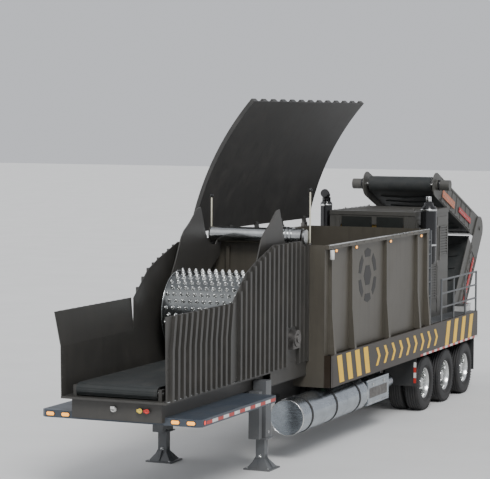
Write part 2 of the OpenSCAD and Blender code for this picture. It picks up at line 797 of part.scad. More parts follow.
// ---- Landing legs ----
leg_top = 1420;
module leg_housings() color("#4c4c4e") centred() both() {
    h = leg_w / 2;
    difference() {
        union() {
            block([leg_x - h, leg_y - h, leg_z0], [leg_x + h, leg_y + h, leg_top]);
            block([leg_x - h - 40, leg_y - h - 20, leg_z0], [leg_x + h + 40, leg_y + h + 20, leg_z0 + 20]);
            block([leg_x - h - 180, leg_y - h, leg_z0 + 20], [leg_x - h - 60, leg_y + h - 40, deck_z - 1]);
            block([leg_x - h - 60, leg_y - h, leg_z0 + 60], [leg_x - h, leg_y - h + 20, deck_z - 1]);
        }
        block([leg_x - h + leg_t, leg_y - h + leg_t, leg_z0 + 60],
            [leg_x + h - leg_t, leg_y + h - leg_t, leg_top - 20]);
        g = leg_in_w / 2 + run_gap;
        block([leg_x - g, leg_y - g, leg_z0 - 1], [leg_x + g, leg_y + g, leg_z0 + 61]);
    }
    block([leg_x - 80, rail_out, rail_z0], [leg_x + 80, leg_y - h, deck_z]);
}

module landing_leg() {
    w = leg_in_w / 2;
    block([leg_x - w, leg_y - w, foot_h], [leg_x + w, leg_y + w, leg_top - 170]);
    f = foot_w / 2;
    block([leg_x - f, leg_y - f, 0], [leg_x + f, leg_y + f, 25]);
    intersection() {
        translate([0, leg_y + f, 0]) rotate([90, 0, 0]) linear_extrude(foot_w) polygon([
            [leg_x - f + 40, 25], [leg_x + f - 40, 25], [leg_x + w, foot_h], [leg_x - w, foot_h]]);
        translate([leg_x - f, 0, 0]) rotate([90, 0, 90]) linear_extrude(foot_w) polygon([
            [leg_y - f + 40, 25], [leg_y + f - 40, 25], [leg_y + w, foot_h], [leg_y - w, foot_h]]);
    }
}

module leg_left() color("#6c6e70") centred() mirror([0, 1, 0]) landing_leg();

module leg_right() color("#6c6e70") centred() landing_leg();

// ---- Axles and wheels ----
function axle_at(i) = axle_x - (3 - i) * axle_pitch;

module axle_beams() color("#4a4a4a") centred() for (i = [1 : 3]) {
    rod_y(axle_at(i), tyre_r, axle_r, -rail_out - 15, rail_out + 15);
    rod_y(axle_at(i), tyre_r, spindle_r, -wheel_y - 20, wheel_y + 20);
}

module leaf_springs() color("#3c3c3c") centred() both() for (i = [1 : 3]) {
    x = axle_at(i);
    half = axle_pitch / 2 - 125;
    for (k = [0 : 2]) {
        block([x - half + 120 * (2 - k), rail_y - leaf_w / 2, seat_top + k * leaf_t],
            [x + half - 120 * (2 - k), rail_y + leaf_w / 2, seat_top + (k + 1) * leaf_t]);
    }
    difference() {
        block([x - 80, rail_y - leaf_w / 2, tyre_r + 20], [x + 80, rail_y + leaf_w / 2, seat_top]);
        rod_y(x, tyre_r, axle_r + seat_gap, rail_y - leaf_w, rail_y + leaf_w);
    }
    for (s = [-1, 1]) {
        block([x + s * (half + 35) - 35, rail_y - leaf_w / 2, seat_top],
            [x + s * (half + 35) + 35, rail_y + leaf_w / 2, rail_z0]);
    }
}

module tyre(x, y) {
    w = tyre_w / 2;
    s = 45;
    translate([x, y, tyre_r]) rotate([90, 0, 0]) rotate_extrude() polygon([
        [rim_r + seat_gap, -w + s], [tyre_r - 90, -w], [tyre_r - 12, -w + 18], [tyre_r, -w + 40],
        [tyre_r, w - 40], [tyre_r - 12, w - 18], [tyre_r - 90, w], [rim_r + seat_gap, w - s]]);
}

module wheel_pair(i) {
    x = axle_at(i);
    for (y = [wheel_y, inner_wheel_y]) {
        tyre(x, y);
        difference() {
            rod_y(x, tyre_r, rim_r, y - tyre_w / 2 + 50, y + tyre_w / 2 - 50);
            rod_y(x, tyre_r, rim_r - rim_t, y - tyre_w / 2 + 49, y + tyre_w / 2 - 49);
        }
    }
    difference() {
        union() {
            rod_y(x, tyre_r, hub_r, inner_wheel_y - 100, wheel_y + 70);
            rod_y(x, tyre_r, rim_r - rim_t, wheel_y - tyre_w / 2 + 50, wheel_y - tyre_w / 2 + 70);
            rod_y(x, tyre_r, rim_r - rim_t, inner_wheel_y + tyre_w / 2 - 70, inner_wheel_y + tyre_w / 2 - 50);
        }
        rod_y(x, tyre_r, spindle_r + run_gap, inner_wheel_y - 101, wheel_y + 25);
    }
}

module wheel_1_left() color("#262626") centred() mirror([0, 1, 0]) wheel_pair(1);
module wheel_1_right() color("#262626") centred() wheel_pair(1);
module wheel_2_left() color("#262626") centred() mirror([0, 1, 0]) wheel_pair(2);
module wheel_2_right() color("#262626") centred() wheel_pair(2);
module wheel_3_left() color("#262626") centred() mirror([0, 1, 0]) wheel_pair(3);
module wheel_3_right() color("#262626") centred() wheel_pair(3);

module mudguards() color("#2a2a2a") centred() both() {
    front = axle_at(1) - tyre_r - 100;
    rear = axle_x + tyre_r + 60;
    inner = inner_wheel_y - tyre_w / 2;
    block([front - 12, inner, 530], [front, half_w - 5, band_z0]);
    block([rear, inner, 420], [rear + 12, half_w - 5, band_z0]);
}

// ---- Engine house ----
module engine_house() color("#5b5a55") centred() difference() {
    block([house_x0, -house_y, floor_z], [house_x1, house_y, house_z]);
    block([house_x0 + house_t, -house_y + house_t, floor_z - 1],
        [house_x1 - house_t, house_y - house_t, house_z - house_t]);
    block([house_x0 - 1, -650, 1800], [house_x0 + house_t + 1, 650, 3500]);
}

module engine() color("#8a6a3a") centred() {
    x0 = fan_x + 150;
    difference() {
        block([x0, -330, 1850], [x0 + 1450, 330, engine_z + 330]);
        rod_x(x0 - 1, x0 + 200, 0, engine_z + 100, 40 + run_gap);
    }
    both() block([x0 + 80, 120, engine_z + 330], [x0 + 1380, 400, engine_z + 620]);
    block([x0 + 80, -260, floor_z], [x0 + 260, 260, 1850]);
    block([x0 + 1150, -260, floor_z], [x0 + 1330, 260, 1850]);
    // Radiator behind the front grille
    block([house_x0 + 40, -700, floor_z], [house_x0 + 140, 700, 3600]);
}

module cooling_fan() color("#2f3133") centred() {
    z = engine_z + 100;
    rod_x(fan_x - 30, fan_x + 60, 0, z, 110);
    rod_x(fan_x + 59, fan_x + 340, 0, z, 40);
    for (a = [0 : 45 : 315]) translate([fan_x, 0, z]) rotate([a, 0, 0]) {
        translate([0, 0, 100]) rotate([0, 0, 35]) translate([-8, -60, 0]) cube([16, 120, 440]);
    }
}

module stack(r, top, far) {
    translate([stack_x, stack_y, 2750]) cylinder(r = r, h = top - 2750);
    translate([stack_x, stack_y, top]) cylinder(r1 = r, r2 = r * 0.55, h = 70);
    translate([stack_x, stack_y, top + 70]) cylinder(r = r * 0.5, h = far ? 90 : 140);
    for (z = [3000, 3450]) block([stack_x - 40, house_y, z], [stack_x + 40, stack_y, z + 50]);
}

module exhaust_stacks() color("#232324") centred() {
    mirror([0, 1, 0]) stack(158, 3850, false);
    stack(120, 3900, true);
    translate([stack_x, stack_y, 4040]) rotate([0, -50, 0]) cylinder(r = 58, h = 150);
}

module rail_tube(x0, x1, z) { rod_x(x0, x1, band_in + band_t / 2, z, 18); }

module service_walkway() color("#4d5254") centred() {
    strip_x = house_x1 + 50;
    strip_y = house_y + 10;
    block([bin_x1 + bin_t, -band_in, floor_z - bin_t], [strip_x, band_in, floor_z]);
    rail_x = [stack_x + 240, stack_x + 1050, stack_x + 1850, band_x1 - 45];
    both() {
        block([strip_x, strip_y, floor_z - bin_t], [band_x1, band_in, floor_z]);
        for (x = rail_x) translate([x, band_in + band_t / 2, floor_z]) {
            cylinder(r = 20, h = handrail_z - floor_z + 18);
        }
        for (k = [1 : 3]) rail_tube(rail_x[0], rail_x[3], floor_z + k * (handrail_z - floor_z) / 3);
    }
    // Ladder between the bin and the house
    for (x = [bin_x1 + 45, bin_x1 + 205]) block([x, -bin_y - 40, floor_z], [x + 30, -bin_y, bin_z - 40]);
    for (i = [1 : 6]) rod_x(bin_x1 + 60, bin_x1 + 220, -bin_y - 20, floor_z + i * 270, 14);
}

// ---- Discharge conveyor ----
module at_incline() { translate([tail_x, 0, tail_z]) rotate([0, -inc_a, 0]) children(); }
module at_fold() { translate([knuckle_x, 0, knuckle_z]) rotate([0, -fold_a, 0]) children(); }

board_h = 250;
module incline_frame() color("#4e4c47") centred() at_incline() {
    difference() {
        union() {
            both() {
                loop_solid(0, inc_len, conv_d + 10, inc_in, inc_out);
                block([560, inc_in, conv_d], [inc_len - 600, inc_in + 12, conv_d + board_h]);
                rod_y(0, 0, trunnion_r, inc_out, bracket_in + 40);
                rod_y(inc_len, 0, knuckle_pin_r, conv_in - 30, inc_out + 20);
            }
            for (u = [420, 1300, 2080]) {
                block([u, -inc_in - 1, 20 - conv_d], [u + 60, inc_in + 1, 70 - conv_d]);
            }
        }
        rod_y(0, 0, knuckle_pin_r + run_gap, -bracket_in - 41, bracket_in + 41);
        rod_y(inc_len, 0, roll_shaft_r + run_gap, -conv_in, conv_in);
    }
}

// Belt that wraps one pulley and is cut off short of the knuckle
module half_belt(len) {
    difference() {
        belt_loop(0, len, 0, pulley_r + belt_t, conv_belt_y);
        block([len - belt_cut, -conv_belt_y - 1, -2 * pulley_r],
            [len + 2 * pulley_r, conv_belt_y + 1, 2 * pulley_r]);
    }
}

module incline_belt() color("#1f2122") centred() at_incline() half_belt(inc_len);

module fold_frame() color("#4e4c47") centred() at_fold() difference() {
    union() {
        both() {
            loop_solid(0, fold_len, conv_d, conv_in, conv_out);
            rod_y(fold_len, 0, 105, conv_out, conv_out + 280);
        }
        for (u = [700, 1500, 2300]) {
            block([u, -conv_in - 1, 15 - conv_d], [u + 60, conv_in + 1, 65 - conv_d]);
        }
    }
    rod_y(fold_len, 0, knuckle_pin_r + run_gap, -conv_out, conv_out);
    both() rod_y(0, 0, knuckle_pin_r + run_gap, conv_in - 1, conv_out + 1);
}

module fold_belt() color("#1f2122") centred() at_fold() {
    translate([fold_len, 0, 0]) mirror([1, 0, 0]) half_belt(fold_len);
}

module knuckle_roller() color("#55565a") centred() {
    roller(knuckle_x, knuckle_z, pulley_r, 2 * conv_belt_y - 20, roll_shaft_r, 2 * conv_in - 4);
}

module head_pulley() color("#55565a") centred() at_fold() {
    roller(fold_len, 0, pulley_r - run_gap, 2 * conv_belt_y - 20, knuckle_pin_r, 2 * conv_out - 10);
}

module tail_pulley() color("#55565a") centred() at_incline() {
    roller(0, 0, pulley_r - run_gap, 2 * conv_belt_y - 20, knuckle_pin_r, 2 * bracket_in + 60);
}

chassis_rails();
crossmembers();
deck();
kingpin_plate();
front_connectors();
infeed_bed();
infeed_walls();
infeed_ribs();
infeed_belt();
infeed_roller_front();
infeed_roller_rear();
feed_arm_plates();
pivot_tube();
feed_motor();
feed_drum();
drum_teeth();
indicator_rods();
mill_rotor();
mill_screen();
mill_anvil();
rotor_bearings();
bin_sides();
bin_frame();
bin_end_walls();
bin_floor();
belly_belt();
bin_lid();
lid_ribs();
lid_hinges();
side_bands();
marker_lamps();
fuel_tank();
tank_straps();
fuel_cap();
toolbox();
air_tank();
leg_housings();
leg_left();
leg_right();
axle_beams();
leaf_springs();
wheel_1_left();
wheel_1_right();
wheel_2_left();
wheel_2_right();
wheel_3_left();
wheel_3_right();
engine_house();
engine();
cooling_fan();
exhaust_stacks();
service_walkway();
mudguards();
incline_frame();
incline_belt();
fold_frame();
fold_belt();
knuckle_roller();
head_pulley();
tail_pulley();
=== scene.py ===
"""Looks for the trailer-mounted horizontal grinder. Everything is in metres, in the CAD frame."""
import json

import bmesh
import bpy
from math import cos, pi, radians, sin
from mathutils import Matrix, Vector


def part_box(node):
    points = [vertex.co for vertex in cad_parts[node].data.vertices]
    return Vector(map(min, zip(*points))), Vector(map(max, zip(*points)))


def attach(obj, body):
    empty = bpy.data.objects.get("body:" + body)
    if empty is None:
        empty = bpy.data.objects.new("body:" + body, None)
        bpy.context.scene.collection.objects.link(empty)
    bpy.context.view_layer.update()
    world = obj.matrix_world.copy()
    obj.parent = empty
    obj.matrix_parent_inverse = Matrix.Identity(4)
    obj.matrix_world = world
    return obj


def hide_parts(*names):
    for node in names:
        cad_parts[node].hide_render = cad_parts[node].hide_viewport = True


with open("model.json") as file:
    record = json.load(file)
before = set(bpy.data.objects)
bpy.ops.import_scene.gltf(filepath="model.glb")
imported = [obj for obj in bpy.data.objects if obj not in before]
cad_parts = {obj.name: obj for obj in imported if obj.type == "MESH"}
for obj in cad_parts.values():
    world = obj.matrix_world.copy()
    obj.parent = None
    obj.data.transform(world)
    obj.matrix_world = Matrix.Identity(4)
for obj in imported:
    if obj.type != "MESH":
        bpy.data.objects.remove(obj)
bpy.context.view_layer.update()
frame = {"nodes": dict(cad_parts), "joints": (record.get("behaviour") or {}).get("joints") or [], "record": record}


joints = {j["name"]: j for j in frame["joints"]}


# ---- Materials ----
# Sockets of a Mix node that mixes colours
MIX_FACTOR, MIX_A, MIX_B, MIX_RESULT = 0, 6, 7, 2


class Nodes:
    """A small helper that wires one procedural material."""

    def __init__(self, name, rough, metal=0.0):
        self.material = bpy.data.materials.new(name)
        self.material.use_nodes = True
        self.tree = self.material.node_tree
        self.shader = self.tree.nodes["Principled BSDF"]
        self.shader.inputs["Metallic"].default_value = metal
        self.shader.inputs["Roughness"].default_value = rough
        self.place = self.tree.nodes.new("ShaderNodeTexCoord").outputs["Object"]

    def link(self, a, b):
        self.tree.links.new(a, b)

    def scaled(self, scale):
        node = self.tree.nodes.new("ShaderNodeMapping")
        node.inputs["Scale"].default_value = scale
        self.link(self.place, node.inputs["Vector"])
        return node.outputs["Vector"]

    def noise(self, scale, detail, stretch=(1, 1, 1), rough=0.55):
        node = self.tree.nodes.new("ShaderNodeTexNoise")
        node.inputs["Scale"].default_value = scale
        node.inputs["Detail"].default_value = detail
        node.inputs["Roughness"].default_value = rough
        self.link(self.scaled(stretch), node.inputs["Vector"])
        return node.outputs["Fac"]

    def ramp(self, value, stops):
        node = self.tree.nodes.new("ShaderNodeValToRGB")
        elements = node.color_ramp.elements
        while len(elements) < len(stops):
            elements.new(0.5)
        for element, (at, colour) in zip(elements, stops):
            element.position = at
            element.color = (*colour, 1)
        self.link(value, node.inputs["Fac"])
        return node.outputs["Color"]

    def spread(self, value, low, high, out_low, out_high):
        node = self.tree.nodes.new("ShaderNodeMapRange")
        for key, number in zip(("From Min", "From Max", "To Min", "To Max"),
                               (low, high, out_low, out_high)):
            node.inputs[key].default_value = number
        self.link(value, node.inputs["Value"])
        return node.outputs["Result"]

    def mix(self, factor, a, b):
        node = self.tree.nodes.new("ShaderNodeMix")
        node.data_type = "RGBA"
        for index, value in ((MIX_FACTOR, factor), (MIX_A, a), (MIX_B, b)):
            socket = node.inputs[index]
            if isinstance(value, (int, float)):
                socket.default_value = value
            elif isinstance(value, tuple):
                socket.default_value = (*value, 1)
            else:
                self.link(value, socket)
        return node.outputs[MIX_RESULT]

    def colour(self, output):
        self.link(output, self.shader.inputs["Base Color"])

    def roughness(self, output):
        self.link(output, self.shader.inputs["Roughness"])

    def bump(self, height, strength, distance):
        node = self.tree.nodes.new("ShaderNodeBump")
        node.inputs["Strength"].default_value = strength
        node.inputs["Distance"].default_value = distance
        self.link(height, node.inputs["Height"])
        self.link(node.outputs["Normal"], self.shader.inputs["Normal"])


def shade(colour, factor):
    return tuple(min(1.0, c * factor) for c in colour)


def paint(name, colour, rough=0.5, dust=0.35, streak=0.25, dust_colour=(0.17, 0.15, 0.125)):
    """Enamel on steel: slow tone changes, streaks that run down, settled dust and small scuffs."""
    m = Nodes(name, rough)
    tone = m.noise(0.7, 5)
    base = m.ramp(tone, [(0.3, shade(colour, 0.86)), (0.55, colour), (0.75, shade(colour, 1.12))])
    runs = m.spread(m.noise(1.0, 6, (9, 9, 0.55)), 0.5, 0.75, 0, streak)
    streaked = m.mix(runs, base, shade(colour, 0.6))
    settled = m.spread(m.noise(2.4, 8, rough=0.68), 0.48, 0.82, 0, dust)
    dusty = m.mix(settled, streaked, dust_colour)
    scuff = m.spread(m.noise(34, 5, (1, 1, 0.5), 0.7), 0.69, 0.76, 0, 0.45)
    m.colour(m.mix(scuff, dusty, shade(colour, 2.0)))
    m.roughness(m.spread(settled, 0, 0.4, rough, min(0.9, rough + 0.25)))
    m.bump(m.noise(55, 4), 0.18, 0.0015)
    return m.material


def metal(name, colour, rough=0.25, brush=(1, 1, 1)):
    """Bare metal: fine brushed grain, smears and a light tarnish."""
    m = Nodes(name, rough, 1.0)
    smear = m.noise(3.0, 6)
    m.colour(m.ramp(smear, [(0.35, shade(colour, 0.78)), (0.6, colour)]))
    m.roughness(m.spread(m.noise(14, 6, brush), 0.3, 0.75, rough * 0.65, rough * 1.5))
    m.bump(m.noise(90, 3, brush), 0.08, 0.0006)
    return m.material


def rubber(name, colour=(0.018, 0.019, 0.02), dust=0.3):
    m = Nodes(name, 0.72)
    settled = m.spread(m.noise(4, 8, rough=0.7), 0.45, 0.8, 0, dust)
    m.colour(m.mix(settled, colour, (0.11, 0.1, 0.09)))
    m.roughness(m.spread(settled, 0, 0.4, 0.6, 0.88))
    m.bump(m.noise(120, 4), 0.25, 0.001)
    return m.material


def plastic(name, colour, rough=0.35, glow=0.0):
    m = Nodes(name, rough)
    m.colour(m.ramp(m.noise(9, 5), [(0.3, shade(colour, 0.8)), (0.65, colour)]))
    m.bump(m.noise(70, 3), 0.08, 0.0006)
    if glow:
        m.shader.inputs["Emission Color"].default_value = (*colour, 1)
        m.shader.inputs["Emission Strength"].default_value = glow
    return m.material


MATERIALS = {
    "chassis_paint": paint("chassis_enamel", (0.036, 0.034, 0.032), 0.5, 0.2),
    "wall_paint": paint("wall_enamel", (0.046, 0.044, 0.04), 0.44, 0.18, 0.4),
    "deck_paint": paint("deck_enamel", (0.052, 0.066, 0.086), 0.4, 0.3, 0.1),
    "belt_rubber": rubber("belt_rubber_black", (0.016, 0.019, 0.019)),
    "worn_steel": metal("worn_steel_bright", (0.55, 0.55, 0.54), 0.35),
    "polished_steel": metal("polished_steel_bright", (0.46, 0.47, 0.47), 0.2),
    "raw_steel": metal("machined_iron_dull", (0.22, 0.21, 0.2), 0.5),
    "bin_paint": paint("bin_enamel", (0.078, 0.07, 0.055), 0.44, 0.16, 0.55),
    "lid_paint": paint("lid_enamel", (0.042, 0.041, 0.039), 0.5, 0.2, 0.75),
    "band_paint": paint("band_enamel", (0.022, 0.014, 0.007), 0.42, 0.06, 0.15),
    "amber_lens": plastic("amber_lens_lit", (1.0, 0.42, 0.06), 0.15, 1.6),
    "tank_aluminium": metal("tank_aluminium_satin", (0.42, 0.46, 0.5), 0.26, (14, 1, 14)),
    "strap_black": rubber("strap_rubber", (0.02, 0.02, 0.02), 0.15),
    "cap_green": plastic("cap_paint_green", (0.03, 0.3, 0.08), 0.3),
    "tyre_rubber": rubber("tyre_rubber_black", (0.017, 0.017, 0.018)),
    "fittings": plastic("fitting_yellow", (0.75, 0.55, 0.08), 0.4),
    "house_paint": paint("house_enamel", (0.075, 0.073, 0.066), 0.45, 0.16, 0.3),
    "engine_paint": paint("engine_enamel", (0.3, 0.19, 0.04), 0.45),
    "flap_rubber": rubber("flap_rubber_black"),
    "leg_steel": paint("leg_enamel", (0.11, 0.115, 0.12), 0.42, 0.25, 0.2),
}
YELLOW = paint("hazard_yellow", (0.95, 0.56, 0.012), 0.42, 0.06, 0.08)
STUD_STEEL = metal("stud_steel", (0.74, 0.75, 0.74), 0.2)
DRUM_STEEL = metal("drum_steel", (0.2, 0.21, 0.21), 0.2)
RED_TAPE = plastic("tape_red", (0.5, 0.03, 0.02), 0.3)
WHITE_TAPE = plastic("tape_white", (0.72, 0.72, 0.7), 0.3)
CREAM = paint("cream_enamel", (0.6, 0.57, 0.45), 0.4, 0.2, 0.15)
DARK_PANEL = plastic("panel_dark", (0.02, 0.022, 0.02), 0.35)
GLOSS_BLACK = plastic("gloss_black", (0.012, 0.012, 0.013), 0.18)
BRIGHT = metal("trim_bright", (0.75, 0.76, 0.75), 0.22)
RED_BOARD = paint("board_red", (0.45, 0.03, 0.03), 0.45, 0.2, 0.2)
ORANGE_BOARD = paint("board_orange", (0.5, 0.16, 0.08), 0.45, 0.2, 0.2)
MARK = paint("mark_dark", (0.012, 0.011, 0.01), 0.5, 0.05, 0.1)

slot_of = {s["node"]: s["material_slot"] for s in frame["record"]["subparts"]}
for node, obj in frame["nodes"].items():
    obj.data.materials.clear()
    obj.data.materials.append(DRUM_STEEL if node == "feed_drum" else MATERIALS[slot_of[node]])


# ---- Mesh helpers ----
def angles(count):
    """Equal turns round a circle, in radians."""
    return [2 * pi * i / count for i in range(count)]


class Shape:
    """Collects solids in one mesh, each with the material that is current."""

    def __init__(self):
        self.mesh = bmesh.new()
        self.materials = []
        self.current = 0

    def use(self, material):
        if material not in self.materials:
            self.materials.append(material)
        self.current = self.materials.index(material)
        return self

    def _faces(self, made, smooth=False):
        for face in made:
            face.material_index = self.current
            face.smooth = smooth

    def loft(self, rings, caps=True, smooth=True, loop=False):
        """Skins closed rings of points; loop joins the last ring to the first."""
        rows = [[self.mesh.verts.new(p) for p in ring] for ring in rings]
        count = len(rows[0])
        pairs = list(zip(rows, rows[1:])) + ([(rows[-1], rows[0])] if loop else [])
        made = []
        for a, b in pairs:
            for i in range(count):
                k = (i + 1) % count
                made.append(self.mesh.faces.new((a[i], a[k], b[k], b[i])))
        self._faces(made, smooth)
        if caps and not loop:
            self._faces([self.mesh.faces.new(rows[0][::-1]), self.mesh.faces.new(rows[-1])])

    def box(self, low, high, bevel=0.0, turn=None):
        """Box between two corners, with chamfered edges when bevel is over 0."""
        made = bmesh.ops.create_cube(self.mesh, size=1.0)["verts"]
        size = Vector(high) - Vector(low)
        middle = (Vector(high) + Vector(low)) / 2
        for v in made:
            v.co = Vector(c * s for c, s in zip(v.co, size)) + middle
        faces = list({f for v in made for f in v.link_faces})
        self._faces(faces)
        if bevel:
            edges = list({e for f in faces for e in f.edges})
            out = bmesh.ops.bevel(self.mesh, geom=edges, offset=bevel, segments=2, affect="EDGES",
                                  profile=0.7)
            self._faces(out["faces"])
            made = list({v for f in out["faces"] for v in f.verts} | {v for v in made if v.is_valid})
        if turn:
            bmesh.ops.transform(self.mesh, matrix=turn, verts=made)

    def slab(self, x, y, z, bevel=0.0):
        """Box from three spans; the ends of y may come in either order."""
        near, far = sorted(y)
        self.box((x[0], near, z[0]), (x[1], far, z[1]), bevel)

    def hoop(self, centre, section, steps, axis="y", loop=True):
        """Ring round X or Y through centre from (along, radius) pairs; loop closes the section."""
        def put(along, radius, t):
            if axis == "x":
                return Vector((centre[0] + along, centre[1] + radius * cos(t), centre[2] + radius * sin(t)))
            return Vector((centre[0] + radius * cos(t), centre[1] + along, centre[2] + radius * sin(t)))
        self.loft([[put(along, radius, t) for t in angles(steps)] for along, radius in section],
                  caps=False, loop=loop)

    def lathe(self, origin, axis, profile, steps, smooth=True):
        """Turns (distance along axis, radius) pairs round an axis through origin."""
        axis = Vector(axis).normalized()
        side = axis.orthogonal().normalized()
        other = axis.cross(side)
        rings = []
        for along, radius in profile:
            middle = Vector(origin) + axis * along
            rings.append([middle + (side * cos(a) + other * sin(a)) * radius for a in angles(steps)])
        self.loft(rings, smooth=smooth)

    def rod(self, a, b, radius, steps=16):
        """Round bar with softened ends."""
        edge = 0.15
        a, b = Vector(a), Vector(b)
        length = (b - a).length
        soft = min(radius * edge, length / 4)
        self.lathe(a, b - a, [(0, radius - soft), (soft, radius), (length - soft, radius),
                              (length, radius - soft)], steps)

    def bolt(self, at, axis, radius, height):
        """Hexagon head on a round washer."""
        axis = Vector(axis).normalized()
        self.lathe(at, axis, [(0, radius * 1.45), (height * 0.25, radius * 1.45)], 16, False)
        top = Vector(at) + axis * height * 0.2
        self.lathe(top, axis, [(0, radius), (height * 0.85, radius), (height, radius * 0.82)], 6, False)

    def tube(self, points, radius, steps):
        """Round tube swept along a chain of points."""
        points = [Vector(p) for p in points]
        rings = []
        for i, p in enumerate(points):
            ahead = points[min(i + 1, len(points) - 1)] - points[max(i - 1, 0)]
            ahead.normalize()
            up = Vector((0, 0, 1)) if abs(ahead.z) < 0.9 else Vector((0, 1, 0))
            side = ahead.cross(up).normalized()
            other = side.cross(ahead)
            rings.append([p + (side * cos(a) + other * sin(a)) * radius for a in angles(steps)])
        self.loft(rings)

    def prism(self, outline, axis, low, high):
        """Extrudes an outline of pairs along axis 'x', 'y' or 'z' from low to high."""
        def put(p, at):
            return {"x": (at, p[0], p[1]), "y": (p[0], at, p[1]), "z": (p[0], p[1], at)}[axis]
        self.loft([[put(p, at) for p in outline] for at in (low, high)], smooth=False)

    def piece(self, name, body, slot, replaces=(), where=None):
        """Finishes the mesh as an object that rides on a CAD body."""
        bmesh.ops.recalc_face_normals(self.mesh, faces=self.mesh.faces)
        data = bpy.data.meshes.new(name)
        self.mesh.to_mesh(data)
        self.mesh.free()
        for material in self.materials:
            data.materials.append(material)
        obj = bpy.data.objects.new(name, data)
        bpy.context.scene.collection.objects.link(obj)
        if where:
            obj.matrix_world = where
        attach(obj, body)
        if replaces:
            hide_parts(*replaces)
        return obj


def pivot(joint):
    return Vector(joints[joint]["pos_m"])


# ---- Wheels ----
RIM_RADIUS = 0.286
HOOP_STEPS = 64
TYRE_LUGS = 54
WHEEL_NUTS = 10
# Radii of the circles that the wheel nuts and the hub cap's bolts stand on
NUT_CIRCLE = 0.146
CAP_CIRCLE = 0.083


def dual_wheel(shape, radius, pitch):
    """A pair of tyres on rims; the outer tyre is centred at the origin and +Y is outwards."""
    rim = RIM_RADIUS
    half = 0.132
    groove_half, groove_floor, groove_depth = 0.0065, 0.005, 0.012
    grooves = []
    for middle in (-0.072, -0.024, 0.024, 0.072):
        grooves += [(middle - groove_half, radius), (middle - groove_floor, radius - groove_depth),
                    (middle + groove_floor, radius - groove_depth), (middle + groove_half, radius)]
    side = [(half - 0.035, rim), (half - 0.018, rim + 0.014), (half, rim + 0.075),
            (half + 0.006, rim + 0.13), (half - 0.002, radius - 0.055), (half - 0.014, radius - 0.016),
            (half - 0.03, radius - 0.003)]
    section = [(-a, r) for a, r in side] + grooves + side[::-1]
    for y in (0.0, -pitch):
        shape.use(MATERIALS["tyre_rubber"])
        shape.hoop((0, y, 0), section, HOOP_STEPS)
        for a in angles(TYRE_LUGS):
            turn = Matrix.Rotation(a, 4, "Y")
            for s in (-1, 1):
                low = (-0.009, y + s * (half - 0.016) - 0.014, radius - 0.05)
                high = (0.009, y + s * (half - 0.016) + 0.014, radius - 0.008)
                shape.box(low, high, turn=turn)
        for r in (rim + 0.045, rim + 0.115):
            for s in (-1, 1):
                bead = [(-0.004, r), (0, r - 0.004), (0.004, r), (0, r + 0.004)]
                shape.hoop((0, y + s * (half + 0.0015), 0), bead, HOOP_STEPS)
        shape.use(BRIGHT)
        half_rim = [(0.03, rim - 0.03), (0.094, rim - 0.012), (0.104, rim - 0.004), (0.1, rim + 0.006),
                    (0.09, rim - 0.002), (0.02, rim - 0.018)]
        other_half = [(-along, r) for along, r in half_rim]
        shape.hoop((0, y, 0), other_half[3::-1] + half_rim + other_half[:3:-1], HOOP_STEPS)
        face = -0.05 if y == 0 else 0.05
        hub = [(-0.007, 0.1), (0.007, 0.1), (0.009, 0.168), (-0.005, 0.168)]
        outside = [(-0.005, 0.232), (0.009, 0.232), (0.004, rim - 0.028), (-0.01, rim - 0.028)]
        for disc in (hub, outside):
            shape.hoop((0, y + face, 0), disc, HOOP_STEPS)
        for a in angles(WHEEL_NUTS):
            turn = Matrix.Translation((0, y + face, 0)) @ Matrix.Rotation(a, 4, "Y")
            shape.box((-0.033, -0.005, 0.16), (0.033, 0.009, 0.24), turn=turn)
    shape.use(BRIGHT)
    shape.lathe((0, -0.045, 0), (0, 1, 0), [(0, 0.128), (0.03, 0.126), (0.045, 0.1), (0.1, 0.096),
                                             (0.106, 0.09), (0.112, 0.07), (0.113, 0.0001)], 40)
    for i in range(WHEEL_NUTS):
        a = 2 * pi * (i + 0.5) / WHEEL_NUTS
        shape.bolt((NUT_CIRCLE * cos(a), -0.041, NUT_CIRCLE * sin(a)), (0, 1, 0), 0.017, 0.03)
    for a in angles(8):
        shape.bolt((CAP_CIRCLE * cos(a), 0.06, CAP_CIRCLE * sin(a)), (0, 1, 0), 0.007, 0.008)
    shape.use(MATERIALS["raw_steel"])
    shape.lathe((0, -pitch - 0.1, 0), (0, 1, 0), [(0, 0.128), (pitch + 0.05, 0.12)], 32)


def wheels():
    low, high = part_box("wheel_1_right")
    radius = (high.z - low.z) / 2
    outer = pivot("wheel_1_right_spin")
    tyre_width = 2 * (high.y - outer.y)
    pitch = high.y - low.y - tyre_width
    for i in (1, 2, 3):
        for side, turn in (("left", pi), ("right", 0.0)):
            shape = Shape()
            dual_wheel(shape, radius, pitch)
            name = f"wheel_{i}_{side}"
            where = Matrix.Translation(pivot(name + "_spin")) @ Matrix.Rotation(turn, 4, "Z")
            shape.piece("dual_" + name, name, "tyre_rubber", [name], where)


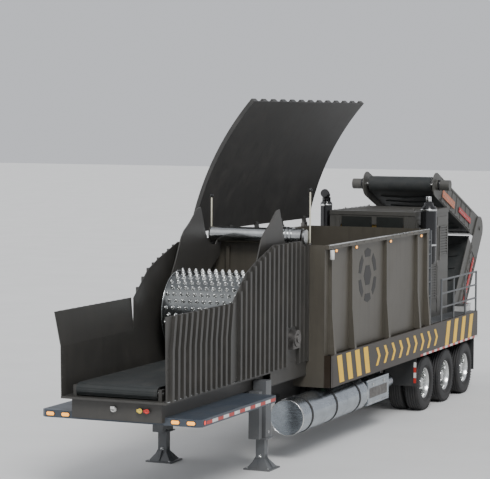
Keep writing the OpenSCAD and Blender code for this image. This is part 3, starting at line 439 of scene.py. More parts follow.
# ---- Drum ----
def drum_teeth():
    centre = pivot("feed_drum_spin")
    low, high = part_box("feed_drum")
    radius = (high.z - low.z) / 2
    shape = Shape().use(STUD_STEEL)
    rows, pitch, per_row = 36, 0.118, 10
    profile = [(-0.004, 0.037), (0.004, 0.036), (0.008, 0.0275), (0.02, 0.0265), (0.034, 0.0215),
               (0.044, 0.0135), (0.05, 0.006), (0.0515, 0.0001)]
    for i, a in enumerate(angles(rows)):
        out = Vector((sin(a), 0, cos(a)))
        for j in range(per_row + 1 - i % 2):
            y = (j - (per_row - i % 2) / 2) * pitch
            shape.lathe(centre + out * radius + Vector((0, y, 0)), out, profile, 12)
    shape.piece("drum_studs", "feed_drum", "polished_steel", ["drum_teeth"])
    trim = Shape().use(MATERIALS["polished_steel"])
    drum_edge = 0.66
    for s in (-1, 1):
        inner, outer = s * (drum_edge - 0.012), s * (drum_edge + 0.001)
        section = [(inner, radius + 0.001), (inner, radius + 0.012), (outer, radius + 0.012),
                   (outer, radius - 0.03)]
        trim.hoop(centre, section, 96)
    trim.piece("drum_end_hoops", "feed_drum", "polished_steel")


# ---- Belts ----
def infeed_belt():
    """Thin ribs across both strands of the infeed belt and round its front roller."""
    low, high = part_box("infeed_belt")
    r = (high.z - low.z) / 2
    front = Vector((low.x + r, 0, low.z + r))
    rib_pitch, margin = 0.055, 0.015
    foot, height = 0.007, 0.004
    strand_section = [(-foot, -0.001), (foot, -0.001), (foot * 0.6, height), (-foot * 0.6, height)]
    section = [(-foot, -0.001), (foot, -0.001), (0.004, height), (-0.004, height)]
    shape = Shape().use(MATERIALS["belt_rubber"])
    half = high.y - margin
    for strand in (1, -1):
        for i in range(int((high.x - low.x - 2 * r) / rib_pitch) + 1):
            middle = front + Vector((i * rib_pitch, 0, r * strand))
            for s in (-1, 1):
                shape.loft([[middle + Vector((a, y, b * strand)) for a, b in strand_section]
                            for y in (0.0, s * half)], smooth=False)
    for k in range(1, 5):
        a = radians(90 + 36 * k)
        up = Vector((cos(a), 0, sin(a)))
        along = Vector((-sin(a), 0, cos(a)))
        shape.loft([[front + up * r + along * p + up * q + Vector((0, y, 0)) for p, q in section]
                    for y in (low.y + margin, half)], smooth=False)
    shape.piece("infeed_belt_ribs", "trailer", "belt_rubber")


# ---- Hazard bands, tapes and lamps ----
def skewed_bar(shape, x, z0, z1, width, lean, y, thick):
    outline = [(x, z0), (x + width, z0), (x + width + lean, z1), (x + lean, z1)]
    shape.prism(outline, "y", y, y + thick)


def hazard_bars():
    low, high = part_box("side_bands")
    z0, z1 = low.z + 0.045, high.z - 0.03
    bar, front_step, rear_step, lean = 0.22, 0.44, 0.52, 0.14
    count, rise = 9, 0.16
    for side, s in (("left", -1), ("right", 1)):
        shape = Shape().use(YELLOW)
        y = s * (high.y - 0.001)
        thick = s * 0.003
        first = low.x + 0.2
        for i in range(4):
            skewed_bar(shape, first + i * front_step + lean, z0, z1, bar, -lean, y, thick)
        last = high.x - 0.32 - bar - lean
        for i in range(4):
            skewed_bar(shape, last - i * rear_step, z0, z1, bar, lean, y, thick)
        a, b = first + 4 * front_step + 0.45, last - 3 * rear_step - 0.5
        middle = (z0 + z1) / 2
        for i in range(count):
            x = a + (b - a) * i / (count - 1) - 0.09
            for up in (-1, 1):
                shape.prism([(x, middle), (x + 0.11, middle), (x - 0.02, middle + up * rise),
                             (x - 0.13, middle + up * rise)], "y", y, y + thick)
        shape.piece("hazard_bars_" + side, "trailer", "band_paint")
    bin_low, bin_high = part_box("bin_sides")
    corner = Shape().use(MATERIALS["band_paint"])
    for s in (-1, 1):
        outer = s * (high.y - 0.002)
        corner.slab((bin_low.x, low.x + 0.004), (s * (high.y - 0.014), outer), (low.z, high.z), 0.002)
        corner.slab((bin_low.x, bin_low.x + 0.012), (s * bin_high.y, outer), (low.z, high.z), 0.002)
    corner.piece("band_front_corners", "trailer", "band_paint")


def tape(shape, x0, x1, z, y, step, height):
    """Row of red and white blocks along X."""
    count = max(1, round((x1 - x0) / step))
    for i in range(count):
        shape.use(RED_TAPE if i % 2 == 0 else WHITE_TAPE)
        a = x0 + (x1 - x0) * i / count
        b = x0 + (x1 - x0) * (i + 1) / count
        shape.slab((a, b - 0.002), (y, y + 0.002), (z - height / 2, z + height / 2))


def tapes():
    deck_low, deck_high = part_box("deck")
    band_low, band_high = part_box("side_bands")
    guard_low, guard_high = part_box("mudguards")
    for side, s in (("left", -1), ("right", 1)):
        shape = Shape()
        y = s * (deck_high.y + 0.0002) - (0.002 if s < 0 else 0)
        tape(shape, deck_low.x + 0.2, deck_high.x - 0.02, deck_high.z - 0.062, y, 0.2, 0.05)
        tape(shape, band_low.x + 4.75, band_high.x - 0.02, band_low.z + 0.022, y, 0.17, 0.042)
        for i in range(4):
            shape.use(RED_TAPE if i % 2 else WHITE_TAPE)
            z = guard_high.z - 0.08 - i * 0.1
            edge = s * guard_high.y
            shape.slab((guard_low.x - 0.003, guard_low.x - 0.0005), (edge, edge - s * 0.05), (z - 0.098, z))
        shape.piece("reflective_tape_" + side, "trailer", "band_paint")


def lamp(shape, at, axis, across, length, height, lens, depth=0.014):
    """Oval lamp: a dark bezel and a domed lens. axis points out, across lies along its length."""
    axis, across = Vector(axis), Vector(across)
    up = axis.cross(across)

    def oval(grow, out):
        points = []
        for t in angles(24):
            bend = max(0.0, length - height) / 2
            x = cos(t) * (height / 2 + grow) + (bend if cos(t) > 0 else -bend)
            points.append(Vector(at) + across * x + up * sin(t) * (height / 2 + grow) + axis * out)
        return points
    shape.use(GLOSS_BLACK)
    shape.loft([oval(0.008, -0.001), oval(0.008, depth * 0.4), oval(0.003, depth * 0.55)])
    shape.use(lens)
    shape.loft([oval(0, 0.002), oval(0, depth * 0.55), oval(-0.004, depth * 0.85),
                oval(-0.016, depth)])


# How far the bin's top rail stands out from the side plates
RAIL_OUT = 0.068
RED_LENS = plastic("red_lens_lit", (0.75, 0.05, 0.03), 0.15, 0.9)


def lamps():
    deck_low, deck_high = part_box("deck")
    lens = MATERIALS["amber_lens"]
    z = (deck_low.z + deck_high.z) / 2
    shape = Shape()
    for y in (-1.14, -0.89, 0.89, 1.14):
        lamp(shape, (deck_low.x, y, z), (-1, 0, 0), (0, 1, 0), 0.13, 0.055, lens)
    for s in (-1, 1):
        lamp(shape, (deck_low.x + 0.13, s * deck_high.y, z), (0, s, 0), (1, 0, 0), 0.064, 0.064, RED_LENS,
             0.008)
    sides_low, sides_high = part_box("bin_sides")
    lamp_x = [sides_low.x + offset for offset in (0.331, 1.331, 3.151, 4.941)]
    for s in (-1, 1):
        for x in lamp_x:
            at = (x, s * (sides_high.y + RAIL_OUT), sides_high.z - 0.038)
            lamp(shape, at, (0, s, 0), (1, 0, 0), 0.09, 0.045, lens, 0.02)
    band_low, band_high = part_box("side_bands")
    for s in (-1, 1):
        for y in (band_high.y - 0.11, band_high.y - 0.2):
            lamp(shape, (band_high.x, s * y, band_low.z + 0.29), (1, 0, 0), (0, 1, 0), 0.07, 0.07, RED_LENS,
                 0.018)
    shape.piece("lamps_with_bezels", "trailer", "amber_lens", ["marker_lamps"])


# ---- Front beam ----
def couplings():
    """Two air couplings and a trailer socket on the front beam."""
    low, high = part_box("front_connectors")
    z = (low.z + high.z) / 2
    red = plastic("coupling_red", (0.6, 0.04, 0.03), 0.35)
    beam = high.x
    shape = Shape()
    for y, colour in ((-0.4, MATERIALS["fittings"]), (-0.51, red)):
        shape.use(MATERIALS["raw_steel"])
        shape.lathe((beam, y, z), (-1, 0, 0), [(0, 0.03), (0.012, 0.03), (0.016, 0.02), (0.04, 0.02)], 20)
        shape.use(colour)
        shape.lathe((beam - 0.034, y, z + 0.008), (-1, 0, 0),
                    [(0, 0.03), (0.005, 0.037), (0.018, 0.037), (0.023, 0.03), (0.024, 0.016),
                     (0.017, 0.014), (0.016, 0.0001)], 24)
        shape.box((beam - 0.05, y + 0.025, z - 0.012), (beam - 0.036, y + 0.052, z + 0.03), 0.003)
    shape.use(plastic("socket_white", (0.6, 0.6, 0.58), 0.35))
    shape.lathe((beam, 0.04, z), (-1, 0, 0), [(0, 0.042), (0.006, 0.042), (0.01, 0.034), (0.042, 0.034),
                                              (0.044, 0.028), (0.02, 0.026), (0.018, 0.0001)], 28)
    shape.box((beam - 0.052, 0.005, z + 0.01), (beam - 0.044, 0.075, z + 0.048), 0.003)
    shape.use(MATERIALS["raw_steel"])
    for dy in (-0.032, 0.032):
        for dz in (-0.032, 0.032):
            shape.bolt((beam, 0.04 + dy, z + dz), (-1, 0, 0), 0.005, 0.005)
    shape.piece("air_couplings_and_socket", "trailer", "fittings", ["front_connectors"])


# ---- Rods, pivot and arm ----
def rods():
    low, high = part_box("indicator_rods")
    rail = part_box("bin_end_walls")[1].z
    x = (low.x + high.x) / 2
    shape = Shape()
    ball = 0.034
    for y, top in ((-0.9, high.z), (0.9, high.z - 0.13)):
        shape.use(CREAM)
        shape.rod((x, y, rail + 0.0005), (x, y, top - 2 * ball), 0.012)
        shape.use(MATERIALS["raw_steel"])
        shape.lathe((x, y, rail + 0.0003), (0, 0, 1), [(0, 0.024), (0.03, 0.024), (0.034, 0.014)], 6, False)
        shape.use(GLOSS_BLACK)
        profile = [(ball * (1 - cos(t)), ball * sin(t) + 0.0001) for t in
                   (pi * k / 12 for k in range(13))]
        shape.lathe((x, y, top - 2 * ball), (0, 0, 1), profile, 24)
    shape.piece("rods_with_balls", "trailer", "fittings", ["indicator_rods"])


def arm_details():
    """A ring and eight bolts round each bearing of the feed drum's shaft."""
    drum = pivot("feed_drum_spin")
    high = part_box("feed_arm_plates")[1]
    outer, inner, bolt_circle = 0.11, 0.0735, 0.09
    shape = Shape()
    for s in (-1, 1):
        y = s * high.y
        face = drum + Vector((0, y, 0))
        shape.use(MATERIALS["wall_paint"])
        shape.hoop(face, [(s * 0.0005, outer), (s * 0.006, outer), (s * 0.008, outer - 0.01),
                          (s * 0.008, inner), (s * 0.0005, inner)], 40)
        shape.use(MATERIALS["raw_steel"])
        for t in angles(8):
            at = drum + Vector((bolt_circle * cos(t), y + s * 0.0075, bolt_circle * sin(t)))
            shape.bolt(at, (0, s, 0), 0.009, 0.007)
    shape.piece("arm_bearing_caps", "feed_arm", "wall_paint")


# ---- Walls ----
def wall_details():
    """A bright bead along the foot of each infeed wall and a row of bolts between its ribs."""
    low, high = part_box("infeed_walls")
    wall_y, bead_z, bolt_z = 0.85, 1.5205, 1.58
    first_bolt, pitch, bolts = low.x + 0.36, 0.19, 28
    shape = Shape().use(BRIGHT)
    for s in (-1, 1):
        y = s * (wall_y + 0.0065)
        shape.tube([(low.x + 0.15, y, bead_z), (high.x - 1.6, y, bead_z)], 0.0055, 8)
    shape.use(MATERIALS["raw_steel"])
    for s in (-1, 1):
        for i in range(bolts):
            x = first_bolt + i * pitch
            if x < high.x - 0.15:
                shape.bolt((x, s * (wall_y + 0.0002), bolt_z), (0, s, 0), 0.009, 0.008)
    shape.piece("wall_seams_and_bolts", "trailer", "wall_paint")


# ---- Bin and lid ----
def bin_details():
    rail_low, rail_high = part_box("bin_frame")
    side_low, side_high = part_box("bin_sides")
    bolts, pitch = 14, 0.39
    shape = Shape()
    for s in (-1, 1):
        edge = s * (side_high.y + RAIL_OUT)
        shape.use(BRIGHT)
        ends = [(x, edge, rail_high.z) for x in (rail_low.x + 0.01, side_high.x - 0.01)]
        shape.tube(ends, 0.009, 8)
        shape.use(MATERIALS["raw_steel"])
        for i in range(bolts):
            x = side_low.x + 0.2 + i * pitch
            shape.bolt((x, edge, rail_high.z - 0.034), (0, s, 0), 0.01, 0.009)
    can_radius = 0.038
    shape.use(WHITE_TAPE)
    at = Vector((rail_low.x + 0.06, -side_high.y - RAIL_OUT - can_radius, side_high.z - 0.01))
    shape.rod(at, at - Vector((0, 0, 0.16)), can_radius)
    shape.use(GLOSS_BLACK)
    shape.rod(at, at + Vector((0, 0, 0.012)), 0.028)
    shape.piece("rail_trim_and_bolts", "trailer", "bin_paint")


def emblem():
    """A plain mark on the near side: a ring of six bars round a hexagon."""
    side_low, side_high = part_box("bin_sides")
    x, z = side_low.x + 2.13, (side_low.z + side_high.z) / 2 + 0.31
    y = -side_high.y
    shape = Shape().use(MARK)
    outer, inner, core = 0.47, 0.35, 0.2
    for i in range(6):
        a, b = radians(60 * i + 8), radians(60 * i + 52)
        points = [(x + r * cos(t), z + r * sin(t)) for t, r in
                  ((a, outer), ((a + b) / 2, outer * 1.03), (b, outer), (b, inner), (a, inner))]
        shape.prism(points, "y", y - 0.0025, y + 0.0005)
    shape.prism([(x + core * cos(radians(60 * i)), z + core * sin(radians(60 * i))) for i in range(6)],
                "y", y - 0.0025, y + 0.0005)
    shape.piece("plain_mark", "trailer", "band_paint")


# ---- Tank, toolbox and air tank ----
# Steps round a large circle
ROUND = 56


def tank_details():
    low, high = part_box("fuel_tank")
    radius = (high.y - low.y) / 2
    y, z = (high.y + low.y) / 2, low.z + radius
    shape = Shape()
    dome = [(0.0, radius - 0.01), (0.012, radius - 0.012), (0.02, radius - 0.035), (0.026, radius * 0.6),
            (0.03, radius * 0.3), (0.031, 0.0001)]
    for x, out in ((low.x + 0.03, -1), (high.x - 0.03, 1)):
        shape.use(CREAM)
        shape.lathe((x, y, z), (out, 0, 0), [(a - 0.002, r) for a, r in dome], ROUND)
        shape.use(BRIGHT)
        section = [(0.0, radius + 0.0005), (0.03, radius + 0.0005), (0.034, radius - 0.006),
                   (0.03, radius - 0.014), (0.0, radius - 0.012)]
        shape.hoop((x, y, z), [(out * a, r) for a, r in section], ROUND, "x")
    shape.use(MATERIALS["tank_aluminium"])
    span = high.x - low.x
    seam = [(-0.006, radius), (-0.003, radius + 0.0025), (0.003, radius + 0.0025), (0.006, radius)]
    for share in (0.36, 0.66):
        shape.hoop((low.x + span * share, y, z), seam, ROUND, "x", loop=False)
    shape.use(MATERIALS["raw_steel"])
    turn, strap_face, strap_inset = radians(28), radius + 0.008, 0.42
    for x in (low.x + strap_inset, low.x + span / 2, high.x - strap_inset):
        at = Vector((x, y - strap_face * cos(turn), z + strap_face * sin(turn)))
        shape.bolt(at, (0, -cos(turn), sin(turn)), 0.012, 0.014)
    shape.piece("tank_ends_and_hoops", "trailer", "tank_aluminium")
    cap_low, cap_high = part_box("fuel_cap")
    centre = pivot("fuel_cap_turn")
    cap = Shape().use(MATERIALS["cap_green"])
    base = cap_high.z - 0.046
    cap.lathe((centre.x, centre.y, base), (0, 0, 1),
              [(0, 0.058), (0.004, 0.061), (0.024, 0.061), (0.03, 0.055), (0.03, 0.0001)], 40)
    knurl_circle, grip_half, grip_thick = 0.06, 0.045, 0.009
    for t in angles(20):
        x, y = centre.x + knurl_circle * cos(t), centre.y + knurl_circle * sin(t)
        cap.rod((x, y, base + 0.003), (x, y, base + 0.025), 0.0035, 6)
    cap.slab((centre.x - grip_half, centre.x + grip_half), (centre.y - grip_thick, centre.y + grip_thick),
             (base + 0.028, cap_high.z), 0.004)
    cap.use(MATERIALS["raw_steel"])
    cap.lathe((centre.x, centre.y, cap_low.z + 0.001), (0, 0, 1), [(0, 0.037), (0.038, 0.037)], 28)
    cap.piece("filler_cap", "fuel_cap", "cap_green", ["fuel_cap"])
    box_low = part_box("toolbox")[0]
    front = box_low.y
    door = Shape().use(MATERIALS["tank_aluminium"])
    door.box((box_low.x + 0.04, front - 0.008, box_low.z + 0.04), (box_low.x + 1.14, front, 0.91), 0.004)
    door.use(MATERIALS["raw_steel"])
    door.slab((box_low.x + 0.12, box_low.x + 1.06), (front - 0.011, front - 0.006), (box_low.z + 0.12, 0.8),
              0.002)
    door.use(BRIGHT)
    for x in (box_low.x + 0.3, box_low.x + 0.88):
        door.box((x - 0.03, front - 0.016, 0.83), (x + 0.03, front - 0.008, 0.88), 0.003)
        door.rod((x - 0.02, front - 0.02, 0.855), (x + 0.02, front - 0.02, 0.855), 0.006)
    door.rod((box_low.x + 0.06, front - 0.006, 0.535), (box_low.x + 1.12, front - 0.006, 0.535), 0.007)
    door.piece("toolbox_door", "trailer", "tank_aluminium")
    air_low, air_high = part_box("air_tank")
    ends = Shape().use(CREAM)
    air_r = 0.11
    air_y, air_z = -0.95, 0.7
    for x, out in ((air_low.x, -1), (air_high.x, 1)):
        ends.lathe((x - out * 0.002, air_y, air_z), (out, 0, 0),
                   [(0, air_r - 0.001), (0.012, air_r * 0.93), (0.026, air_r * 0.7), (0.034, air_r * 0.35),
                    (0.036, 0.0001)], 36)
    ends.piece("air_tank_ends", "trailer", "tank_aluminium")


# ---- Landing legs ----
# Where the landing legs stand, and the outer face of their housings
LEG_X = -4.4865
LEG_FACE = 0.9705


def leg_details():
    for side, s in (("left", -1), ("right", 1)):
        low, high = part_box("leg_" + side)
        x, y = (low.x + high.x) / 2, (low.y + high.y) / 2
        shape = Shape().use(MATERIALS["leg_steel"])
        half = (high.x - low.x) / 2
        for dx, dy in ((1, 0), (-1, 0), (0, 1), (0, -1)):
            out = Vector((dx, dy, 0))
            across = Vector((dy, dx, 0))
            foot = Vector((x, y, 0))
            a = foot + out * (half - 0.03)
            b = foot + out * 0.075
            shape.loft([[a + across * t + Vector((0, 0, 0.026)), a + across * t + Vector((0, 0, 0.036)),
                         b + across * t + Vector((0, 0, 0.24)), b + across * t + Vector((0, 0, 0.15))]
                        for t in (-0.006, 0.006)], smooth=False)
        shape.use(BRIGHT)
        for dx in (-1, 1):
            for dy in (-1, 1):
                shape.bolt((x + dx * (half - 0.05), y + dy * (half - 0.05), 0.0255), (0, 0, 1), 0.014, 0.012)
        shape.bolt((x - 0.0735, y, 0.205), (-1, 0, 0), 0.02, 0.016)
        shape.piece("foot_gussets_" + side, "leg_" + side, "leg_steel")
    shape = Shape().use(BRIGHT)
    for s in (-1, 1):
        for z in (0.6, 1.05):
            shape.bolt((LEG_X, s * LEG_FACE, z), (0, s, 0), 0.016, 0.012)
    shape.piece("leg_bolts", "trailer", "leg_steel")


# ---- Engine house ----
def louvres(shape, x0, x1, z0, z1, y, s, count):
    """Slanted blades in a frame on a wall that faces s along Y."""
    frame_w = 0.03
    for a, b, c, d in ((x0, x1, z0, z0 + frame_w), (x0, x1, z1 - frame_w, z1),
                       (x0, x0 + frame_w, z0, z1), (x1 - frame_w, x1, z0, z1)):
        shape.slab((a, b), (y, y + s * 0.02), (c, d), 0.003)
    step = (z1 - z0 - 2 * frame_w) / count
    for i in range(count):
        z = z0 + frame_w + i * step
        shape.prism([(y + s * 0.001, z + step * 0.75), (y + s * 0.004, z + step * 0.85),
                     (y + s * 0.02, z + step * 0.25), (y + s * 0.018, z + step * 0.1)],
                    "x", x0 + frame_w, x1 - frame_w)


def house_details():
    low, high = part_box("engine_house")
    shape = Shape().use(MATERIALS["house_paint"])
    lip, door_t = 0.012, 0.014
    for s in (-1, 1):
        y = s * high.y
        shape.slab((low.x, high.x), (y, y + s * lip), (high.z - 0.09, high.z - 0.002), 0.004)
        doors = ((low.x + 0.1, low.x + 0.72), (low.x + 0.76, low.x + 1.42), (low.x + 1.46, high.x - 0.06))
        for span in doors:
            shape.slab(span, (y, y + s * door_t), (low.z + 0.08, high.z - 0.16), 0.006)
        louvres(shape, low.x + 0.86, low.x + 1.32, low.z + 0.35, low.z + 1.05, y + s * door_t, s, 12)
        louvres(shape, low.x + 1.55, high.x - 0.15, low.z + 1.2, low.z + 1.8, y + s * door_t, s, 10)
    shape.use(MATERIALS["raw_steel"])
    for s in (-1, 1):
        y = s * (high.y + 0.016)
        for x in (low.x + 0.74, low.x + 1.44):
            for z in (low.z + 0.3, low.z + 1.0, low.z + 1.7):
                shape.rod((x, y, z), (x, y, z + 0.12), 0.012, 10)
        for x in (low.x + 0.2, low.x + 0.85, low.x + 1.55):
            shape.slab((x, x + 0.04), (y, y + s * 0.02), (low.z + 1.12, low.z + 1.28), 0.004)
    shape.piece("house_doors_and_louvres", "trailer", "house_paint")
    front = Shape().use(MATERIALS["house_paint"])
    x = low.x
    front.box((x - 0.012, -high.y, high.z - 0.08), (x, high.y, high.z - 0.002), 0.004)
    for y in (-0.7, 0.7):
        front.box((x - 0.02, y - 0.04, low.z + 0.1), (x, y + 0.04, high.z - 0.09), 0.004)
    front.use(DARK_PANEL)
    for a, b in ((-0.64, -0.1), (0.0, 0.62)):
        front.box((x - 0.008, a, high.z - 0.36), (x + 0.004, b, high.z - 0.11), 0.004)
    front.use(MATERIALS["raw_steel"])
    bars, bar_pitch, bar_half = 26, 0.062, 0.65
    for i in range(bars):
        z = low.z + 0.22 + i * bar_pitch
        front.box((x - 0.006, -bar_half, z), (x + 0.004, bar_half, z + 0.01))
    wires, wire_pitch = 12, 0.109
    for i in range(wires):
        y = -0.6 + i * wire_pitch
        front.box((x - 0.003, y, low.z + 0.2), (x + 0.003, y + 0.008, low.z + 1.85))
    front.piece("front_grille_and_panels", "trailer", "house_paint")
    top = Shape().use(MATERIALS["house_paint"])
    ribs, rib_pitch, rib_inset = 4, 0.52, 0.12
    for i in range(ribs):
        x = low.x + 0.25 + i * rib_pitch
        top.box((x, -high.y + rib_inset, high.z), (x + 0.05, high.y - rib_inset, high.z + 0.012), 0.004)
    top.use(MATERIALS["raw_steel"])
    bolts, bolt_pitch = 9, 0.245
    for s in (-1, 1):
        for i in range(bolts):
            top.bolt((low.x + 0.12 + i * bolt_pitch, s * (high.y - 0.06), high.z), (0, 0, 1), 0.012, 0.01)
    for x in (low.x + 0.45, high.x - 0.35):
        for s in (-1, 1):
            at = Vector((x, s * (high.y - 0.16), high.z))
            points = [at + Vector((0.035 * cos(t), 0, 0.035 * sin(t) + 0.002)) for t in
                      (pi * k / 12 for k in range(13))]
            top.tube(points, 0.008, 8)
    top.piece("roof_stiffeners", "trailer", "house_paint")


def stacks():
    """Two exhaust stacks: the near one has a straight outlet, the far one an elbow."""
    house_low, house_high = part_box("engine_house")
    near_r, far_r, foot = 0.158, 0.12, 2.75
    y_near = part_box("exhaust_stacks")[0].y + near_r
    x = house_low.x + 0.3
    shape = Shape()
    for y, r, top in ((y_near, near_r, 3.85), (-y_near, far_r, 3.9)):
        s = 1 if y > 0 else -1
        shape.use(GLOSS_BLACK)
        body = r - 0.004
        shape.lathe((x, y, foot), (0, 0, 1), [
            (0, r * 0.6), (0.03, r * 0.9), (0.06, body), (0.32, body), (0.33, r), (0.34, body),
            (top - 2.79, body), (top - 2.76, r - 0.01), (top - 2.72, r * 0.62), (top - 2.66, r * 0.53)], 48)
        shape.use(BRIGHT)
        for z in (3.1, top - 0.07):
            clamp = [(0, r - 0.002), (0.002, r), (0.034, r), (0.036, r - 0.002)]
            shape.lathe((x, y, z), (0, 0, 1), clamp, 48)
        shape.use(GLOSS_BLACK)
        for z in (3.0, 3.45):
            shape.slab((x - 0.04, x + 0.04), (s * house_high.y, y - s * (r - 0.01)), (z, z + 0.05), 0.004)
        if s > 0:
            shape.tube([(x + dx, y, top + up) for dx, up in
                        ((0, 0.02), (0, 0.09), (-0.02, 0.13), (-0.06, 0.165), (-0.11, 0.185))], 0.085, 28)
        else:
            shape.use(BRIGHT)
            shape.lathe((x, y, top + 0.07), (0, 0, 1), [(0, r * 0.34), (0.13, r * 0.34), (0.139, r * 0.3),
                                                        (0.139, r * 0.26), (0.06, r * 0.25)], 36)
    shape.piece("stacks_with_clamps", "trailer", "strap_black", ["exhaust_stacks"])


# ---- Fan ----
def fan():
    centre = pivot("cooling_fan_spin")
    low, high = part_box("cooling_fan")
    radius = (high.z - low.z) / 2
    shape = Shape().use(MATERIALS["strap_black"])
    shape.lathe((centre.x - 0.03, centre.y, centre.z), (1, 0, 0),
                [(0, 0.05), (0.005, 0.095), (0.02, 0.108), (0.075, 0.108), (0.09, 0.08), (0.09, 0.0001)], 40)
    stations = 8
    for a in angles(8):
        turn = Matrix.Rotation(a, 4, "X")
        rings = []
        for i in range(stations + 1):
            t = i / stations
            r = 0.1 + (radius - 0.105) * t
            chord = 0.062 + 0.02 * sin(pi * t)
            pitch = radians(48 - 20 * t)
            ring_points = []
            for u, v in ((-1, 0), (-0.3, 0.09), (0.4, 0.09), (1, 0), (0.4, -0.02), (-0.3, -0.02)):
                a, b = u * chord, v * chord
                p = Vector((a * sin(pitch) + b * cos(pitch), a * cos(pitch) - b * sin(pitch), r))
                ring_points.append(Vector(centre) + turn @ p)
            rings.append(ring_points)
        shape.loft(rings)
    shape.use(MATERIALS["raw_steel"])
    shape.rod((centre.x + 0.06, centre.y, centre.z), (high.x, centre.y, centre.z), 0.04)
    shape.piece("fan_blades", "cooling_fan", "strap_black", ["cooling_fan"])


# ---- Walkway, rails and rear ----
def walkway_details():
    """Grip lines on the walkway and the white box at the rear."""
    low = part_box("service_walkway")[0]
    band_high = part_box("side_bands")[1]
    house_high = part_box("engine_house")[1]
    deck = band_high.z
    lines, pitch, reach = 27, 0.105, 0.3
    shape = Shape().use(MATERIALS["leg_steel"])
    for s in (-1, 1):
        y = s * (house_high.y + 0.03)
        for i in range(lines):
            x = low.x + 0.28 + i * pitch
            if x < band_high.x - 0.05:
                shape.slab((x, x + 0.012), (y, y + s * reach), (deck, deck + 0.004))
    shape.piece("walkway_grip", "trailer", "leg_steel")
    white = Shape().use(WHITE_TAPE)
    white.box((band_high.x - 0.42, -1.16, deck + 0.0005), (band_high.x - 0.06, -0.9, deck + 0.15), 0.012)
    white.use(BRIGHT)
    white.box((band_high.x - 0.435, -1.17, deck + 0.12), (band_high.x - 0.045, -0.89, deck + 0.16), 0.008)
    white.piece("rear_box", "trailer", "fittings")


# ---- Discharge conveyor ----
class Leg:
    """One straight leg of the conveyor: u runs along it, n stands square to it, y stays the row's."""

    def __init__(self, start, end):
        self.start = Vector(start)
        reach = Vector(end) - self.start
        self.length = reach.length
        self.along = reach.normalized()
        self.up = Vector((-self.along.z, 0, self.along.x))

    def at(self, u, y, n):
        return self.start + self.along * u + self.up * n + Vector((0, y, 0))

    def block(self, shape, u0, u1, y0, y1, n0, n1):
        outline = [(p.x, p.z) for p in (self.at(u0, 0, n0), self.at(u1, 0, n0), self.at(u1, 0, n1),
                                        self.at(u0, 0, n1))]
        shape.prism(outline, "y", min(y0, y1), max(y0, y1))


# Outer faces of each leg's side plates, from the middle
CONVEYOR_Y = {"incline": 0.78, "fold": 0.75}


def conveyor():
    """Flanges, stiffeners and bolts on the side plates of both legs, and the belts' V-shaped cleats."""
    tail, knuckle, head = (pivot(j) for j in ("incline_hinge", "fold_hinge", "head_pulley_spin"))
    plate_d, trim, surface = 0.25, 0.035, 0.162
    cleat_pitch, cleat_rise, cleat_half = 0.3, 0.022, 0.5
    stiffeners, bolts = 7, 12
    for body, leg in (("incline", Leg(tail, knuckle)), ("fold", Leg(knuckle, head))):
        outer = CONVEYOR_Y[body]
        first, last = (0.5, leg.length - 0.6) if body == "incline" else (0.6, leg.length - 0.3)
        shape = Shape()
        for s in (-1, 1):
            y = s * outer
            shape.use(MATERIALS["house_paint"])
            flange_n = plate_d - trim - 0.002
            for n in (flange_n, -flange_n):
                leg.block(shape, first, last, y, y + s * 0.014, n - trim / 2, n + trim / 2)
            for i in range(stiffeners):
                u = first + 0.1 + i * (last - first - 0.2) / (stiffeners - 1)
                leg.block(shape, u - 0.02, u + 0.02, y, y + s * 0.012, trim - plate_d + 0.03,
                          plate_d - trim - 0.03)
            shape.use(MATERIALS["raw_steel"])
            for i in range(bolts):
                u = first + 0.05 + i * (last - first - 0.1) / (bolts - 1)
                shape.bolt(leg.at(u, y + s * 0.014, flange_n), (0, s, 0), 0.011, 0.009)
        shape.piece(body + "_flanges", body, "house_paint")
        cleats = Shape().use(MATERIALS["belt_rubber"])
        from_u, to_u = (0.15, leg.length - 0.4) if body == "incline" else (0.4, leg.length - 0.15)
        count = int((to_u - from_u) / cleat_pitch)
        for i in range(count):
            u = from_u + (i + 0.5) * (to_u - from_u) / count
            for s in (-1, 1):
                points = [leg.at(u + du, 0, surface + dn) for du, dn in
                          ((-0.07, -0.001), (-0.07, cleat_rise), (-0.045, cleat_rise), (-0.045, -0.001))]
                tips = [p + leg.along * 0.09 + Vector((0, s * cleat_half, 0)) for p in points]
                cleats.loft([points, tips], smooth=False)
        cleats.piece(body + "_belt_cleats", body, "belt_rubber")


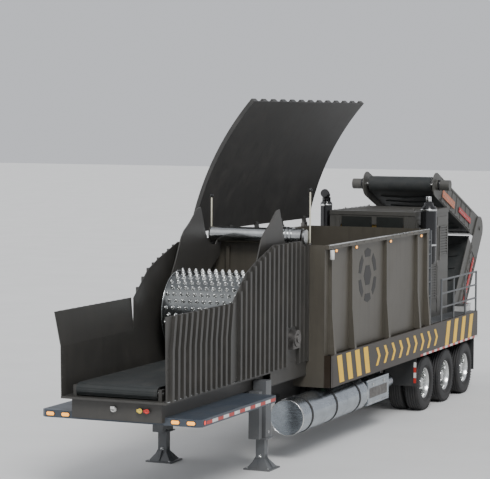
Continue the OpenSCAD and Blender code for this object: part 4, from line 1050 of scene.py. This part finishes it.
def conveyor_boards():
    """Slim boards with a row of studs: orange near the head, red near the knuckle and up the incline."""
    tail, knuckle, head = (pivot(j) for j in ("incline_hinge", "fold_hinge", "head_pulley_spin"))
    leg = Leg(knuckle, head)
    studs, board_t, stand_off = 8, 0.012, 0.012
    for body, line, colour, u0, u1, n0, n1 in (
            ("fold", leg, ORANGE_BOARD, leg.length - 1.25, leg.length - 0.4, -0.02, 0.13),
            ("fold", leg, RED_BOARD, 0.68, 1.55, -0.02, 0.09),
            ("incline", Leg(tail, knuckle), RED_BOARD, 0.75, 2.0, -0.06, 0.02)):
        outer = CONVEYOR_Y[body] + stand_off
        shape = Shape()
        for s in (-1, 1):
            shape.use(colour)
            line.block(shape, u0, u1, s * outer, s * (outer + board_t), n0, n1)
            shape.use(BRIGHT)
            for i in range(studs):
                at = line.at(u0 + (i + 0.5) * (u1 - u0) / studs, s * (outer + board_t), (n0 + n1) / 2)
                shape.bolt(at, (0, s, 0), 0.009, 0.006)
        where = "near_head" if colour is ORANGE_BOARD else "on_" + body
        shape.piece("boards_" + where, body, "house_paint")
    motor = Shape()
    bolt_circle = 0.085
    for s in (-1, 1):
        y = s * outer
        motor.use(GLOSS_BLACK)
        motor.lathe(leg.at(leg.length, y + s * 0.002, 0), (0, s, 0),
                    [(0, 0.108), (0.02, 0.114), (0.04, 0.114), (0.046, 0.106)], 36)
        motor.use(BRIGHT)
        for t in angles(8):
            at = leg.at(leg.length, y + s * 0.046, 0) + bolt_circle * Vector((cos(t), 0, sin(t)))
            motor.bolt(at, (0, s, 0), 0.009, 0.008)
    motor.piece("head_motor_flanges", "fold", "raw_steel")


for make in (wheels, drum_teeth, infeed_belt, hazard_bars, tapes, lamps, couplings, rods, arm_details,
             wall_details, bin_details, emblem, tank_details, leg_details, house_details, stacks, fan,
             walkway_details, conveyor, conveyor_boards):
    make()


# ---- Floor, light and camera ----
def floor():
    nodes = Nodes("pale_floor", 0.9)
    nodes.colour(nodes.ramp(nodes.noise(0.6, 3), [(0.3, (0.7, 0.7, 0.69)), (0.7, (0.74, 0.74, 0.73))]))
    data = bpy.data.meshes.new("floor")
    size = 160
    data.from_pydata([(-size, -size, 0), (size, -size, 0), (size, size, 0), (-size, size, 0)], [],
                     [(0, 1, 2, 3)])
    data.materials.append(nodes.material)
    obj = bpy.data.objects.new("floor", data)
    bpy.context.scene.collection.objects.link(obj)


def lights():
    world = bpy.data.worlds.new("studio")
    world.use_nodes = True
    background = world.node_tree.nodes["Background"]
    background.inputs["Color"].default_value = (0.93, 0.95, 1.0, 1)
    background.inputs["Strength"].default_value = 0.72
    bpy.context.scene.world = world
    for name, direction, strength, angle in (("key", (0.62, 0.42, -0.75), 2.3, 25),
                                             ("fill", (0.5, -0.8, -0.5), 0.6, 60)):
        data = bpy.data.lights.new(name, "SUN")
        data.energy = strength
        data.angle = radians(angle)
        lamp_obj = bpy.data.objects.new(name, data)
        lamp_obj.rotation_euler = Vector(direction).to_track_quat("-Z", "Y").to_euler()
        bpy.context.scene.collection.objects.link(lamp_obj)


def camera():
    place = (-33.6715, -12.917, 5.65)
    yaw, pitch, roll = radians(22.968), radians(-3.615), radians(0.344)
    forward = Vector((cos(yaw) * cos(pitch), sin(yaw) * cos(pitch), sin(pitch)))
    right = Vector((sin(yaw), -cos(yaw), 0))
    up = right.cross(forward)
    tilted_right = right * cos(roll) + up * sin(roll)
    tilted_up = up * cos(roll) - right * sin(roll)
    data = bpy.data.cameras.new("camera")
    data.lens = 146.96
    data.sensor_width = 36
    data.clip_end = 400
    obj = bpy.data.objects.new("camera", data)
    turn = Matrix((tilted_right, tilted_up, -forward)).transposed().to_4x4()
    obj.matrix_world = Matrix.Translation(place) @ turn
    bpy.context.scene.collection.objects.link(obj)
    bpy.context.scene.camera = obj


floor()
lights()
camera()
